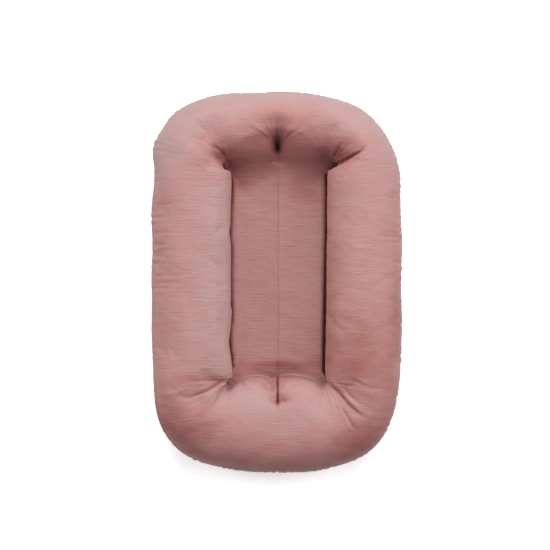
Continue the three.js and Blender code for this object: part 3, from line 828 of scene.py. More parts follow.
# The ring as it looks in use: lumps, puckers, the seam, folds, fans, dents, dart and tuft
def worn(points, arc):
    seam = points[:, 2 * seamColumn]
    seamLengths = lengthsAlong(np.concatenate([seam, seam[:1]]))
    loop = seamLengths[:-1, None] / seamLengths[-1]
    fromSeam = arc - arc[:, 2 * seamColumn][:, None]
    upper = fromSeam < 0
    off = np.abs(fromSeam)
    across = [(arc, texture["lumpLength"])]
    relief = texture["lump"] * randomWaves(texture["lumpSeed"], loop, texture["lumpsRound"], across)
    across = [(arc, texture["unevenLength"])]
    uneven = randomWaves(texture["unevenSeed"], loop, texture["unevenRound"], across)
    uneven = 0.5 + 0.5 * np.clip(uneven, -1, 1.5)
    across = [(arc, texture["puckerLength"])]
    puckersRound = seamLengths[-1] / texture["puckerSpacing"]
    pucker = randomWaves(texture["puckerSeed"], loop, puckersRound, across, texture["puckerWaves"])
    relief += texture["pucker"] * uneven * pucker * np.exp(-off / texture["puckerReach"])
    relief -= texture["seamGroove"] * bell(off, texture["seamGrooveWidth"])
    ridge = bell(off - 2 * texture["seamRidgeWidth"], texture["seamRidgeWidth"])
    relief += texture["seamRidge"] * ridge * np.where(upper, 1, texture["underRidgeShare"])
    floorStart = 2 * (seamColumn + steps["under"])
    relief *= smooth(points[..., 2], 0, texture["flatBelow"])
    relief *= smooth(arc, *texture["fadeAtWell"])
    relief *= smooth(arc[:, -1:] - arc, *texture["fadeUnderneath"])
    relief[:, floorStart:] = 0
    relief += foldRelief(points) + fanRelief(points) * smooth(arc, *texture["fansFrom"])
    relief -= hollowDepth(points, dents)
    onTop = np.arange(points.shape[1]) < 2 * seamColumn
    relief += np.where(onTop, dartRelief(points[..., 0], points[..., 1]), 0)
    shaped = points + gridNormals(points) * relief[..., None]
    shaped[..., 2] -= np.where(onTop, tuftDrop(points[..., 0], points[..., 1]), 0)
    return shaped


leftness = (stations["outer"][:, 0] < 0) * smooth(1 - stations["head"] - stations["foot"])
section, coarseArc = sectionGrid(stations, leaning["seamLiftLeft"] * leftness)
ring = np.concatenate([onPlan(stations, section[..., 0]), section[..., 1:]], axis=2)
ring = evened(ring)
ring = ring - gridNormals(ring) * hollowDepth(ring, hollows)[..., None]
ring = leant(ring, coarseArc)
print("lounger: puffing the cover")
ring = puffed(ring)
print("lounger: folds, tuft and seams")
puffedRing = ring
arc = refined(coarseArc[..., None])[..., 0]
ring = worn(refined(ring), arc)
clothMap = refined(onPlan(stations, coarseArc))

# The sling: a patch inside the well, on the ring's own edge. Columns are counted from the middle
half = 2 * steps["end"] + steps["corner"]
slingRows = 2 * (steps["corner"] + steps["side"])
total = len(ring)
slingShape = {
    "lip": 2.5 * mm,
    "lipAt": 5 * mm,
    "lipWidth": 12 * mm,
    "slotLeft": 1.2 * mm,
    "slotRight": 3.6 * mm,
    "slotEdge": 1.2 * mm,
    "slotBlend": 4,
    "headReach": 15 * mm,
    "footDipReach": 15 * mm,
    "spreading": 120,
    "cornerDip": 12 * mm,
    "cornerDipReach": 24 * mm,
    "cornerDipFrom": 6 * mm,
    "wander": 0.8 * mm,
    "wanderAlong": 38 * mm,
    "wanderAcross": 29 * mm,
}


# The stations on the patch's four edges: for columns from the middle, and for rows from the head
def slingBorder(columns, rows):
    head = columns % total
    foot = (total // 2 - columns) % total
    right = half + rows
    left = (total - half - rows) % total
    return head, foot, right, left


def coons(top, bottom, left, right, u, v):
    u, v = u[None, :, None], v[:, None, None]
    across = (1 - u) * left[:, None] + u * right[:, None]
    along = (1 - v) * top[None] + v * bottom[None]
    upper = (1 - u) * top[0] + u * top[-1]
    lower = (1 - u) * bottom[0] + u * bottom[-1]
    return across + along - (1 - v) * upper - v * lower


def slingPatch(edge, middleX):
    columns, rows = np.arange(half + 1), np.arange(slingRows + 1)
    patches = []
    for mirror in (1, -1):
        head, foot, right, left = slingBorder(mirror * columns, rows)
        side = right if mirror == 1 else left
        top, bottom, outer = edge[head, :2].copy(), edge[foot, :2].copy(), edge[side, :2]
        topRun, bottomRun, v = [lengthsAlong(line) / lengthsAlong(line)[-1] for line in (top, bottom, outer)]
        u = (topRun + bottomRun) / 2
        y = top[0, 1] + (bottom[0, 1] - top[0, 1]) * v
        middle = np.stack([mirror * middleX(y), y], axis=1)
        top[0], bottom[0] = middle[0], middle[-1]
        patches.append(coons(top, bottom, middle, outer, u, v))
    return patches


# Distance from every point to a line of places, and the nearest of them. Goes in batches, for memory
def distanceTo(points, line, batch=2000):
    flat = points.reshape(-1, 2)
    distances, nearest = [], []
    for k in range(0, len(flat), batch):
        apart = np.linalg.norm(flat[k : k + batch, None] - line[None], axis=2)
        distances.append(apart.min(axis=1))
        nearest.append(apart.argmin(axis=1))
    shape = points.shape[:-1]
    return np.concatenate(distances).reshape(shape), np.concatenate(nearest).reshape(shape)


# How far the bolster hangs over the sling at every station
def overhangs():
    outwards = ring[:, 2 * seamColumn, :2] - ring[:, 0, :2]
    outwards /= np.linalg.norm(outwards, axis=1)[:, None]
    face = ring[:, : 2 * steps["inner"], :2] - ring[:, :1, :2]
    return np.maximum(-(face * outwards[:, None]).sum(axis=2).min(axis=1), 0)


def refinedShares(values):
    return np.stack([values, (values + np.roll(values, -1)) / 2], axis=1).ravel()


# Blends values over a patch without moving its border
def spread(values, rounds):
    for _ in range(rounds):
        inside = values[:-2, 1:-1] + values[2:, 1:-1] + values[1:-1, :-2] + values[1:-1, 2:]
        values = values.copy()
        values[1:-1, 1:-1] = inside / 4
    return values


# Distance to the well's edge, the nearest station, and how wide the sunken slot is there
def slotPlaces(plan, edge):
    distance, nearest = distanceTo(plan, edge[:, :2])
    slot = overhangs() + np.where(edge[:, 0] < 0, slingShape["slotLeft"], slingShape["slotRight"])
    blend = slingShape["slotBlend"]
    slot = np.concatenate([slot[-blend:], slot, slot[:blend]])
    slot = np.convolve(slot, np.ones(2 * blend + 1) / (2 * blend + 1), "valid")
    return distance, nearest, slot[nearest]


# The sling's cloth lies level, swells beside the slots, dips into them and meets the end walls
def slingHeight(plan, edge, level):
    shape = slingShape
    distance, nearest, slot = slotPlaces(plan, edge)
    foot, head = refinedShares(stations["foot"]), refinedShares(stations["head"])
    foot, head = spread(foot[nearest], shape["spreading"]), spread(head[nearest], shape["spreading"])
    side = shape["lip"] * bell(distance - slot - shape["lipAt"], shape["lipWidth"])
    side -= well["slotDrop"] * (1 - smooth(distance - slot, -shape["slotEdge"], shape["slotEdge"]))
    atHead = well["headRise"] * np.exp(-distance / shape["headReach"])
    atFoot = -footDropAt(plan[..., 0]) * bell(distance, shape["footDipReach"])
    z = level + side * (1 - foot - head) + atHead * head + atFoot * foot
    for corner in (half, total - half):
        away = np.linalg.norm(plan - edge[corner, :2], axis=-1)
        dip = shape["cornerDip"] * bell(away, shape["cornerDipReach"])
        z -= dip * smooth(distance, 0, shape["cornerDipFrom"])
    along = np.sin(plan[..., 1] / shape["wanderAlong"])
    across = np.cos(plan[..., 0] / shape["wanderAcross"] + 1)
    return z + shape["wander"] * along * across + dartRelief(plan[..., 0], plan[..., 1])


def padOut(piece, thickness, offset=-1):
    shell = piece.modifiers.new("thickness", "SOLIDIFY")
    shell.thickness = thickness
    shell.offset = offset
    shell.use_even_offset = False


# Painted light on the cloth: paler where the lamps light the crowns and slopes most, deeper where shade
# falls, in the creases, on the head's inner wall and low down at the foot. Columns go from the well over the
# crown and the seam to the sling again
paintedLight = {
    "columnShares": [0, 0.1, 0.2, 0.3, 0.45, 0.6, 1],
    "atSides": [-0.3, 0.5, 0.7, 0.65, 0.55, 0.55, 0.25],
    "atLeft": [0, 0.9, 0.85, 0.65, 0.55, 0.55, 0.25],
    "atHead": [0.35, 0.25, 0.3, 0.8, 1, 1, 0.25],
    "atFoot": [0.85, 0.85, 0.9, 0.7, 0.25, 0.1, 0.3],
    "sling": 0.6,
    "foldDepth": 15 * mm,
    "wellColumns": 0.12,
    "headWellFrom": 200 * mm,
    "footWellFrom": 180 * mm,
    "slotShadeLeft": 0.7,
    "slotShadeRight": 1.1,
    "lowest": -0.5,
    "dartShade": 0.9,
    "dartReach": 2.2 * mm,
    "dartColumns": 0.4,
    "dartEnd": (228 * mm, 240 * mm),
    "headFade": 45 * mm,
    "fadeFrom": 150 * mm,
    "fadeTo": 300 * mm,
}


# Painted shade: spots where the cloth is coloured deeper to stand for shade in hollows, corners, folds and
# on the lower flanks: pixels, with reaches in metres
paintedShadeSpots = {
    "aboveTuft": {"at": (282, 120), "reach": (68 * mm, 30 * mm), "paintedShade": 0.55},
    "headCornerRight": {"at": (345, 148), "reach": (44 * mm, 30 * mm), "paintedShade": 0.3},
    "slingHeadRight": {"at": (303, 192), "reach": (34 * mm, 40 * mm), "paintedShade": 0.25},
    "slingHeadLeft": {"at": (240, 178), "reach": (22 * mm, 24 * mm), "paintedShade": 0.25},
    "rightFlank": {"at": (366, 354), "reach": (90 * mm, 92 * mm), "paintedShade": 0.36},
    "rightBrow": {"at": (335, 270), "reach": (26 * mm, 150 * mm), "paintedShade": 0.2},
    "rightFootCorner": {"at": (343, 370), "reach": (45 * mm, 34 * mm), "paintedShade": 0.25},
    "rightEdge": {"at": (402, 300), "reach": (24 * mm, 70 * mm), "paintedShade": 0.25},
    "leftFlank": {"at": (210, 377), "reach": (55 * mm, 20 * mm), "paintedShade": 0.4},
    "footLeft": {"at": (200, 425), "reach": (70 * mm, 42 * mm), "paintedShade": 0.4},
    "footRight": {"at": (354, 437), "reach": (44 * mm, 36 * mm), "paintedShade": 0.35},
    "footDent": {"at": (275, 384), "reach": (20 * mm, 14 * mm), "paintedShade": 0.5},
    "footPinch": {"at": (279, 398), "reach": (22 * mm, 9 * mm), "paintedShade": 0.5},
    "footDip": {"at": (277, 367), "reach": (52 * mm, 9 * mm), "paintedShade": 0.5},
    "tuftCore": {"at": (277.5, 145), "reach": (16 * mm, 18 * mm), "paintedShade": 0.5},
}


def paintedShadeAtSpots(points):
    paintedShade = 0
    for spot in paintedShadeSpots.values():
        away = (points[..., :2] - fromPhoto(spot["at"], foldShape["height"])) / spot["reach"]
        paintedShade = paintedShade + spot["paintedShade"] * bell(np.linalg.norm(away, axis=-1), 1)
    return paintedShade


def paintedLightOfRing(points):
    shares = np.linspace(0, 1, points.shape[1])
    y = points[..., 1]
    nearWell = 1 - smooth(shares, paintedLight["wellColumns"], 2 * paintedLight["wellColumns"])
    head = smooth(y, paintedLight["fadeFrom"], paintedLight["fadeTo"])
    head = np.maximum(head, nearWell * smooth(y, paintedLight["headWellFrom"], well["headReach"]))
    foot = smooth(-y, paintedLight["fadeFrom"], paintedLight["fadeTo"])
    foot = np.maximum(foot, nearWell * smooth(-y, paintedLight["footWellFrom"], well["footReach"]))
    side, left, atHead, atFoot = [
        np.interp(shares, paintedLight["columnShares"], paintedLight[key]) for key in ("atSides", "atLeft", "atHead", "atFoot")
    ]
    value = np.where(points[..., 0] < 0, left, side) * (1 - head - foot) + atHead * head + atFoot * foot
    # Painted shade: deeper colour along the dart's groove near the foot, at the painted shade spots and in
    # the fold valleys
    onDart = bell(points[..., 0] - texture["dartAt"], paintedLight["dartReach"]) * (shares < paintedLight["dartColumns"])
    onDart = onDart * smooth(-y, paintedLight["footWellFrom"], well["footReach"]) * (1 - smooth(-y, *paintedLight["dartEnd"]))
    value -= paintedShadeAtSpots(points) + paintedLight["dartShade"] * onDart
    return value + np.minimum(foldRelief(points), 0) / paintedLight["foldDepth"]


# Painted shade on the sling where the head wall shades it, and at the painted shade spots
def napOfSling(points):
    headAway = np.maximum(well["headReach"] - points[..., 1], 0)
    value = paintedLight["sling"] + (paintedLight["atHead"][0] - paintedLight["sling"]) * bell(headAway, paintedLight["headFade"])
    return value - paintedShadeAtSpots(points)


# Material, cloth map and painted light, and what the piece stands for. Every piece but the slider and its
# pull rides on the root
def finishPiece(piece, material, cadNodes, mapping=None, paintedLightShares=None):
    mesh = piece.data
    mesh.materials.append(material)
    mesh.shade_smooth()
    if mapping is not None:
        layer = mesh.uv_layers.new(name="cloth")
        corners = np.empty(len(mesh.loops), int)
        mesh.loops.foreach_get("vertex_index", corners)
        layer.data.foreach_set("uv", np.asarray(mapping, float)[corners].ravel())
    if paintedLightShares is not None:
        attribute = mesh.attributes.new("paintedLight", "FLOAT", "POINT")
        attribute.data.foreach_set("value", paintedLightShares.astype(np.float32))
    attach(piece, "root")
    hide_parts(*cadNodes)


# One closed surface: some of the ring's columns, and a patch sewn to the first of them
def sewn(ringPart, mapPart, patch, patchMap):
    rows, columns = ringPart.shape[:2]
    index = np.full(patch.shape[:2], -1)
    middle = patch.shape[1] // 2
    head, foot, right, left = slingBorder(np.arange(-middle, middle + 1), np.arange(patch.shape[0]))
    index[0], index[-1] = head * columns, foot * columns
    index[:, -1], index[:, 0] = right * columns, left * columns
    free = index < 0
    index[free] = rows * columns + np.arange(free.sum())
    quads = np.stack([index[:-1, :-1], index[1:, :-1], index[1:, 1:], index[:-1, 1:]], axis=-1)
    vertices = np.concatenate([ringPart.reshape(-1, 3), patch[free]])
    faces = np.concatenate([ringFaces(rows, columns), quads.reshape(-1, 4)])
    return vertices, faces, np.concatenate([mapPart.reshape(-1, 2), patchMap[free]])


def wholePatch(edge, level):
    rightPart, leftPart = slingPatch(edge, lambda y: 0 * y)
    plan = np.concatenate([leftPart[:, :0:-1], rightPart], axis=1)
    return np.concatenate([plan, slingHeight(plan, edge, level)[..., None]], axis=2), plan


# Colours are written as sRGB hex
def linear(colour):
    parts = [int(colour[k : k + 2], 16) / 255 for k in (1, 3, 5)]
    return [c / 12.92 if c <= 0.04045 else ((c + 0.055) / 1.055) ** 2.4 for c in parts] + [1]


def newMaterial(name):
    material = bpy.data.materials.new(name)
    material.use_nodes = True
    material.node_tree.nodes.clear()
    return material


# Adds a node: settings are its own properties, inputs are values or sockets to link from
def addNode(owner, kind, inputs=None, **settings):
    tree = getattr(owner, "node_tree", owner)
    node = tree.nodes.new(kind)
    for key, value in settings.items():
        setattr(node, key, value)
    for key, value in (inputs or {}).items():
        if isinstance(value, bpy.types.NodeSocket):
            tree.links.new(value, node.inputs[key])
        else:
            node.inputs[key].default_value = value
    return node


roseCloth = {
    # The darkest stop is painted shade in the creases, deep is painted shade, colour is the cloth's own and
    # pale is a painted highlight; the dye's random mottling moves along the same stops
    "paintedCreviceShade": "#4a211f",
    "deep": "#94534f",
    "colour": "#b7827d",
    "pale": "#b69593",
    "mottling": 0.55,
    "roughness": 0.6,
    "specular": 0.5,
    "ior": 1.45,
    "sheen": 0.2,
    "sheenRoughness": 0.4,
    "ribSpacing": 6.6 * mm,
    "ribWaver": 3.5,
    # each pattern's size across and along the lounger, its detail and how far it is pulled about
    "patterns": {
        "streaks": (48 * mm, 6 * mm, 4, 1.4),
        "crumples": (44.2 * mm, 26 * mm, 2, 0.5),
        "mottles": (52 * mm, 26 * mm, 4, 0),
        "knit": (3.6 * mm, 2.4 * mm, 1, 0),
    },
    # the strength and height of what stands up from the cloth
    "relief": {
        "ribs": (0.12, 0.5 * mm),
        "crumples": (0.35, 3 * mm),
        "patches": (0.7, 3 * mm),
        "knit": (0.7, 0.6 * mm),
    },
}


# Brushed cotton jersey: soft crosswise ribs and pulled streaks, a fine knit drawn coarse enough to
# show, a mottled dye, and painted light: paler for highlight, deeper for shade, darkest in the creases
def brushedJersey():
    cloth = roseCloth
    material = newMaterial("brushed cotton jersey, rose")
    place = addNode(material, "ShaderNodeUVMap", uv_map="cloth").outputs["UV"]
    heights = {}
    for name, (across, along, detail, pulled) in cloth["patterns"].items():
        scale = (1 / across, 1 / along, 1)
        at = addNode(material, "ShaderNodeMapping", {"Vector": place, "Scale": scale}).outputs[0]
        inputs = {"Vector": at, "Scale": 1, "Detail": detail, "Distortion": pulled}
        heights[name] = addNode(material, "ShaderNodeTexNoise", inputs).outputs["Fac"]
    waveScale = math.pi / 10 / cloth["ribSpacing"]  # a wave texture at scale 1 repeats every pi / 10
    inputs = {
        "Vector": place,
        "Scale": waveScale,
        "Distortion": cloth["ribWaver"],
        "Detail": 2,
        "Detail Scale": 0.5,
    }
    settings = {"wave_type": "BANDS", "bands_direction": "Y"}
    heights["ribs"] = addNode(material, "ShaderNodeTexWave", inputs, **settings).outputs["Fac"]
    # The painted light attribute, plus the dye's random mottling, picks a colour on the ramp from painted
    # crease shade through painted shade and the cloth's colour to a painted highlight
    left = addNode(material, "ShaderNodeAttribute", attribute_name="paintedLight").outputs["Fac"]
    middled = addNode(material, "ShaderNodeMath", {0: heights["mottles"], 1: 0.5}, operation="SUBTRACT")
    inputs = {0: middled.outputs[0], 1: cloth["mottling"], 2: left}
    uneven = addNode(material, "ShaderNodeMath", inputs, operation="MULTIPLY_ADD").outputs[0]
    spanned = addNode(material, "ShaderNodeMapRange", {"Value": uneven, "From Min": paintedLight["lowest"]})
    ramp = addNode(material, "ShaderNodeValToRGB", {"Fac": spanned.outputs[0]})
    stops = ramp.color_ramp.elements
    stops[0].color, stops[1].color = linear(cloth["paintedCreviceShade"]), linear(cloth["pale"])
    for share, key in ((0, "deep"), (0.5, "colour")):
        stop = stops.new((share - paintedLight["lowest"]) / (1 - paintedLight["lowest"]))
        stop.color = linear(cloth[key])
    inputs = {0: heights["streaks"], 1: heights["crumples"]}
    heights["patches"] = addNode(material, "ShaderNodeMath", inputs, operation="MULTIPLY").outputs[0]
    normal = {}
    for name, (strength, distance) in cloth["relief"].items():
        inputs = {"Height": heights[name], "Strength": strength, "Distance": distance}
        normal = {"Normal": addNode(material, "ShaderNodeBump", {**inputs, **normal}).outputs[0]}
    shader = addNode(material, "ShaderNodeBsdfPrincipled", {
        "Base Color": ramp.outputs["Color"],
        "Roughness": cloth["roughness"],
        "Specular IOR Level": cloth["specular"],
        "IOR": cloth["ior"],
        "Sheen Weight": cloth["sheen"],
        "Sheen Roughness": cloth["sheenRoughness"],
        **normal,
    })
    addNode(material, "ShaderNodeOutputMaterial", {"Surface": shader.outputs[0]})
    return material


# The plain finishes: colour, roughness, the size of the grain and how high that stands. The zip is
# painted and dyed, so nothing on it is metallic
finishes = {
    # calico is pale and matt, with a slubby weave
    "calico": ("woven calico, unbleached", "#e6e0d4", 0.85, 10 / 9 * mm, 0.2 * mm),
    # loose fibre is white and matt, and lies in soft tufts
    "fibre": ("polyester fibre, white", "#f2f0ec", 0.9, 6.25 * mm, 2 * mm),
    # the zip's tape is matt, with a fine close weave
    "tape": ("woven polyester zip tape, rose", "#b98a85", 0.8, 2 / 3 * mm, 0.15 * mm),
    # the moulded teeth have a soft waxy shine
    "teeth": ("moulded acetal, rose", "#a87a74", 0.4, 2.5 * mm, 0.05 * mm),
    # the painted slider, pull and stops are smooth, with a slight orange peel
    "metal": ("painted zinc, rose", "#a3756f", 0.35, 4 * mm, 0.04 * mm),
    # sewing thread is a little shinier than the cloth, and paler
    "thread": ("polyester sewing thread, rose", "#c99c96", 0.5, 5 / 6 * mm, 0.05 * mm),
}
grain = {"detail": 3, "darkest": 0.82, "relief": 0.5}


def plainMaterial(name, colour, roughness, size, height):
    material = newMaterial(name)
    place = addNode(material, "ShaderNodeTexCoord").outputs["Object"]
    inputs = {"Vector": place, "Scale": 1 / size, "Detail": grain["detail"]}
    noise = addNode(material, "ShaderNodeTexNoise", inputs).outputs["Fac"]
    base = linear(colour)
    dark = [c * grain["darkest"] for c in base[:3]] + [1]
    tone = addNode(material, "ShaderNodeMix", {"Factor": noise, "A": dark, "B": base}, data_type="RGBA")
    inputs = {"Height": noise, "Strength": grain["relief"], "Distance": height}
    relief = addNode(material, "ShaderNodeBump", inputs)
    shader = addNode(material, "ShaderNodeBsdfPrincipled", {
        "Base Color": tone.outputs[2],
        "Roughness": roughness,
        "Normal": relief.outputs[0],
    })
    addNode(material, "ShaderNodeOutputMaterial", {"Surface": shader.outputs[0]})
    return material


print("lounger: materials")
jersey = brushedJersey()
plain = {name: plainMaterial(*finish) for name, finish in finishes.items()}

# Where the sling's cloth meets the head and foot walls, the corner between them is softened
joint = {
    "headShare": 0.6,
    "headReach": 22 * mm,
    "footShare": 0.3,
    "footReach": 15 * mm,
    "footFrom": 30 * mm,
    "below": 100 * mm,
    "smoothing": 90,
    "factor": 0.5,
    "least": 0.02,
}

print("lounger: cover")
ringPaintedLight = paintedLightOfRing(ring)
topRing, topMap = ring[:, : 2 * seamColumn + 1], clothMap[:, : 2 * seamColumn + 1]
slingTop, slingPlan = wholePatch(ring[:, 0], lounger["slingTop"])
vertices, faces, mapping = sewn(topRing, topMap, slingTop, slingPlan)
coverTop = makeMesh("rose_cover_top", vertices, faces.tolist())
edgePlan = ring[:, 0, :2]
atHead = refinedShares(stations["head"]) > joint["headShare"]
atFoot = refinedShares(stations["foot"]) > joint["footShare"]
atFoot &= np.abs(edgePlan[:, 0]) > joint["footFrom"]
softness = np.maximum(
    bell(distanceTo(vertices[:, :2], edgePlan[atHead])[0], joint["headReach"]),
    bell(distanceTo(vertices[:, :2], edgePlan[atFoot])[0], joint["footReach"]),
)
softness *= vertices[:, 2] < joint["below"]
jointGroup = coverTop.vertex_groups.new(name="joint")
for k in np.flatnonzero(softness > joint["least"]):
    jointGroup.add([int(k)], float(softness[k]), "REPLACE")
soften = coverTop.modifiers.new("soft joints", "SMOOTH")
soften.factor = joint["factor"]
soften.iterations = joint["smoothing"]
soften.vertex_group = "joint"
padOut(coverTop, lounger["clothThickness"])
paintedLightShares = napOfSling(vertices)
# Painted shade: the sling is coloured darker in the slots where it runs under the side bolsters
distance, nearest, slot = slotPlaces(vertices[:, :2], ring[:, 0])
slotShade = np.where(vertices[:, 0] < 0, paintedLight["slotShadeLeft"], paintedLight["slotShadeRight"])
slotShade = slotShade * (1 - refinedShares(stations["head"]) - refinedShares(stations["foot"]))[nearest]
paintedLightShares -= slotShade * (1 - smooth(distance - slot, -slingShape["slotEdge"], slingShape["slotEdge"]))
paintedLightShares[: topRing.shape[0] * topRing.shape[1]] = ringPaintedLight[:, : 2 * seamColumn + 1].ravel()
finishPiece(coverTop, jersey, ["cover_top"], mapping, paintedLightShares)

# Underneath, two halves meet down the middle, and part for the zip
underside = {"patchRounds": 40, "edgeBlend": 6 * mm}
zipOpening = {
    "half": 8 * mm,
    "foot": -134.1 * mm,
    "head": 198 * mm,
    "taper": 7 * mm,
    "sewnGap": 0.15 * mm,
}


def openingHalf(y):
    taper = zipOpening["taper"]
    opened = smooth(y, zipOpening["foot"] - taper, zipOpening["foot"])
    opened = opened * (1 - smooth(y, zipOpening["head"], zipOpening["head"] + taper))
    return zipOpening["sewnGap"] + (zipOpening["half"] - zipOpening["sewnGap"]) * opened


# The quads of an open grid of points, counted along its rows
def gridFaces(rows, columns):
    i, j = np.arange(rows - 1)[:, None], np.arange(columns - 1)[None]
    first = i * columns + j
    return np.stack([first, first + columns, first + columns + 1, first + 1], axis=-1).reshape(-1, 4)


underRing, underMap = ring[:, 2 * seamColumn :], clothMap[:, 2 * seamColumn :]


def coverBottom(side, mirror):
    columns = underRing.shape[1]
    stationsUsed = mirror * np.arange(total // 2 + 1) % total
    rows = underRing[stationsUsed].copy()
    rows[[0, -1], :, 0] = mirror * zipOpening["sewnGap"]
    n = len(stationsUsed)
    edge = ring[:, -1]
    plan = slingPatch(edge, openingHalf)[0 if mirror == 1 else 1]
    plan = np.stack([spread(plan[..., k], underside["patchRounds"]) for k in (0, 1)], axis=-1)
    atEdge = bell(distanceTo(plan, edge[:, :2])[0], underside["edgeBlend"])
    z = lounger["slingUnder"] + (edge[:, 2].mean() - lounger["slingUnder"]) * atEdge
    patch = np.concatenate([plan, z[..., None]], axis=2)
    index = np.full(patch.shape[:2], -1)
    last = columns - 1
    index[0] = np.arange(half + 1) * columns + last
    index[-1] = (n - 1 - np.arange(half + 1)) * columns + last
    index[:, -1] = (half + np.arange(slingRows + 1)) * columns + last
    free = index < 0
    index[free] = n * columns + np.arange(free.sum())
    quads = np.stack([index[:-1, :-1], index[:-1, 1:], index[1:, 1:], index[1:, :-1]], axis=-1)
    faces = np.concatenate([gridFaces(n, columns), quads.reshape(-1, 4)])
    if mirror == -1:
        faces = faces[:, ::-1]
    vertices = np.concatenate([rows.reshape(-1, 3), patch[free]])
    mapping = np.concatenate([underMap[stationsUsed].reshape(-1, 2), plan[free]])
    paintedLightShares = np.full(len(vertices), paintedLight["sling"])
    paintedLightShares[: n * columns] = ringPaintedLight[stationsUsed, 2 * seamColumn :].ravel()
    piece = makeMesh(f"rose_cover_bottom_{side}", vertices, faces.tolist())
    padOut(piece, lounger["clothThickness"])
    finishPiece(piece, jersey, [f"cover_bottom_{side}"], mapping, paintedLightShares)


coverBottom("right", 1)
coverBottom("left", -1)

# Lockstitch along both sides of the zip opening, drawn a little thicker than it is so that it shows.
# The first three are the tree's own inputs
stitching = {
    "Stitch Length": 3.2 * mm,
    "Stitch Pitch": 4 * mm,
    "Thread Thickness": 0.7 * mm,
    "fromEdge": 2.6 * mm,
    "beyond": 9 * mm,
    "proud": 0.1 * mm,
    "pathPoints": 160,
    "beadSides": 8,
    "beadRings": 6,
}


def stitchTree():
    tree = bpy.data.node_groups.new("stitch row", "GeometryNodeTree")
    tree.interface.new_socket("Path", in_out="INPUT", socket_type="NodeSocketGeometry")
    for name in ("Stitch Length", "Stitch Pitch", "Thread Thickness"):
        tree.interface.new_socket(name, in_out="INPUT", socket_type="NodeSocketFloat")
    tree.interface.new_socket("Thread", in_out="INPUT", socket_type="NodeSocketMaterial")
    tree.interface.new_socket("Stitches", in_out="OUTPUT", socket_type="NodeSocketGeometry")
    given = addNode(tree, "NodeGroupInput").outputs
    path = addNode(tree, "GeometryNodeMeshToCurve", {"Mesh": given["Path"]}).outputs[0]
    inputs = {"Curve": path, "Length": given["Stitch Pitch"]}
    points = addNode(tree, "GeometryNodeCurveToPoints", inputs, mode="LENGTH")
    inputs = {"Vector": points.outputs["Tangent"]}
    turned = addNode(tree, "FunctionNodeAlignRotationToVector", inputs, axis="Z")
    inputs = {"Segments": stitching["beadSides"], "Rings": stitching["beadRings"], "Radius": 0.5}
    bead = addNode(tree, "GeometryNodeMeshUVSphere", inputs)
    thickness = given["Thread Thickness"]
    inputs = {"X": thickness, "Y": thickness, "Z": given["Stitch Length"]}
    size = addNode(tree, "ShaderNodeCombineXYZ", inputs)
    placed = addNode(tree, "GeometryNodeInstanceOnPoints", {
        "Points": points.outputs["Points"],
        "Instance": bead.outputs["Mesh"],
        "Rotation": turned.outputs[0],
        "Scale": size.outputs[0],
    })
    real = addNode(tree, "GeometryNodeRealizeInstances", {"Geometry": placed.outputs[0]})
    inputs = {"Geometry": real.outputs[0], "Material": given["Thread"]}
    finished = addNode(tree, "GeometryNodeSetMaterial", inputs)
    addNode(tree, "NodeGroupOutput", {"Stitches": finished.outputs[0]})
    return tree


def stitchRows(name, rows):
    vertices = np.concatenate(rows)
    starts = np.cumsum([0] + [len(row) for row in rows])
    edges = [(k, k + 1) for start, end in zip(starts, starts[1:]) for k in range(start, end - 1)]
    mesh = bpy.data.meshes.new(name + "_path")
    mesh.from_pydata(vertices.tolist(), edges, [])
    path = bpy.data.objects.new(name + "_path", mesh)
    bpy.context.collection.objects.link(path)
    modifier = path.modifiers.new("stitches", "NODES")
    modifier.node_group = stitchTree()
    for socket in modifier.node_group.interface.items_tree:
        if socket.in_out == "INPUT" and socket.name in stitching:
            modifier[socket.identifier] = stitching[socket.name]
        if socket.in_out == "INPUT" and socket.name == "Thread":
            modifier[socket.identifier] = plain["thread"]
    evaluated = path.evaluated_get(bpy.context.evaluated_depsgraph_get())
    piece = bpy.data.objects.new(name, bpy.data.meshes.new_from_object(evaluated))
    bpy.context.collection.objects.link(piece)
    bpy.data.objects.remove(path)
    piece.data.name = name
    piece.data.shade_smooth()
    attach(piece, "root")


print("lounger: stitches")
rowFoot, rowHead = zipOpening["foot"] - stitching["beyond"], zipOpening["head"] + stitching["beyond"]
rowY = np.linspace(rowFoot, rowHead, stitching["pathPoints"])
rowX = openingHalf(rowY) + stitching["fromEdge"]
rowZ = np.full(rowY.shape, lounger["slingUnder"] - stitching["proud"])
stitchRows("zip_opening_stitches", [np.stack([side * rowX, rowY, rowZ], axis=1) for side in (1, -1)])

print("lounger: case, sling panels and filling")
# What is inside the cover. The depths are measured inwards from it; trims and steps count the grid's
# own rows and columns
inner = {
    "caseDepth": 4.5 * mm,
    "fillingDepth": 9 * mm,
    "edgeTrim": 3,
    "dropSpread": 6,
    "corners": [(122 * mm, 230 * mm), (-116 * mm, 234 * mm)],
    "cornerDrop": 14 * mm,
    "cornerReach": 38 * mm,
    "tuftDrop": 30 * mm,
    "tuftReach": 18 * mm,
    "panelThickness": 0.8 * mm,
    "panelTrim": (36, 40),
    "panelSteps": (2, 4),
    "panelRounds": 3,
    "upperPanelBelow": 2 * mm,
    "lowerPanelBelow": 3.2 * mm,
}


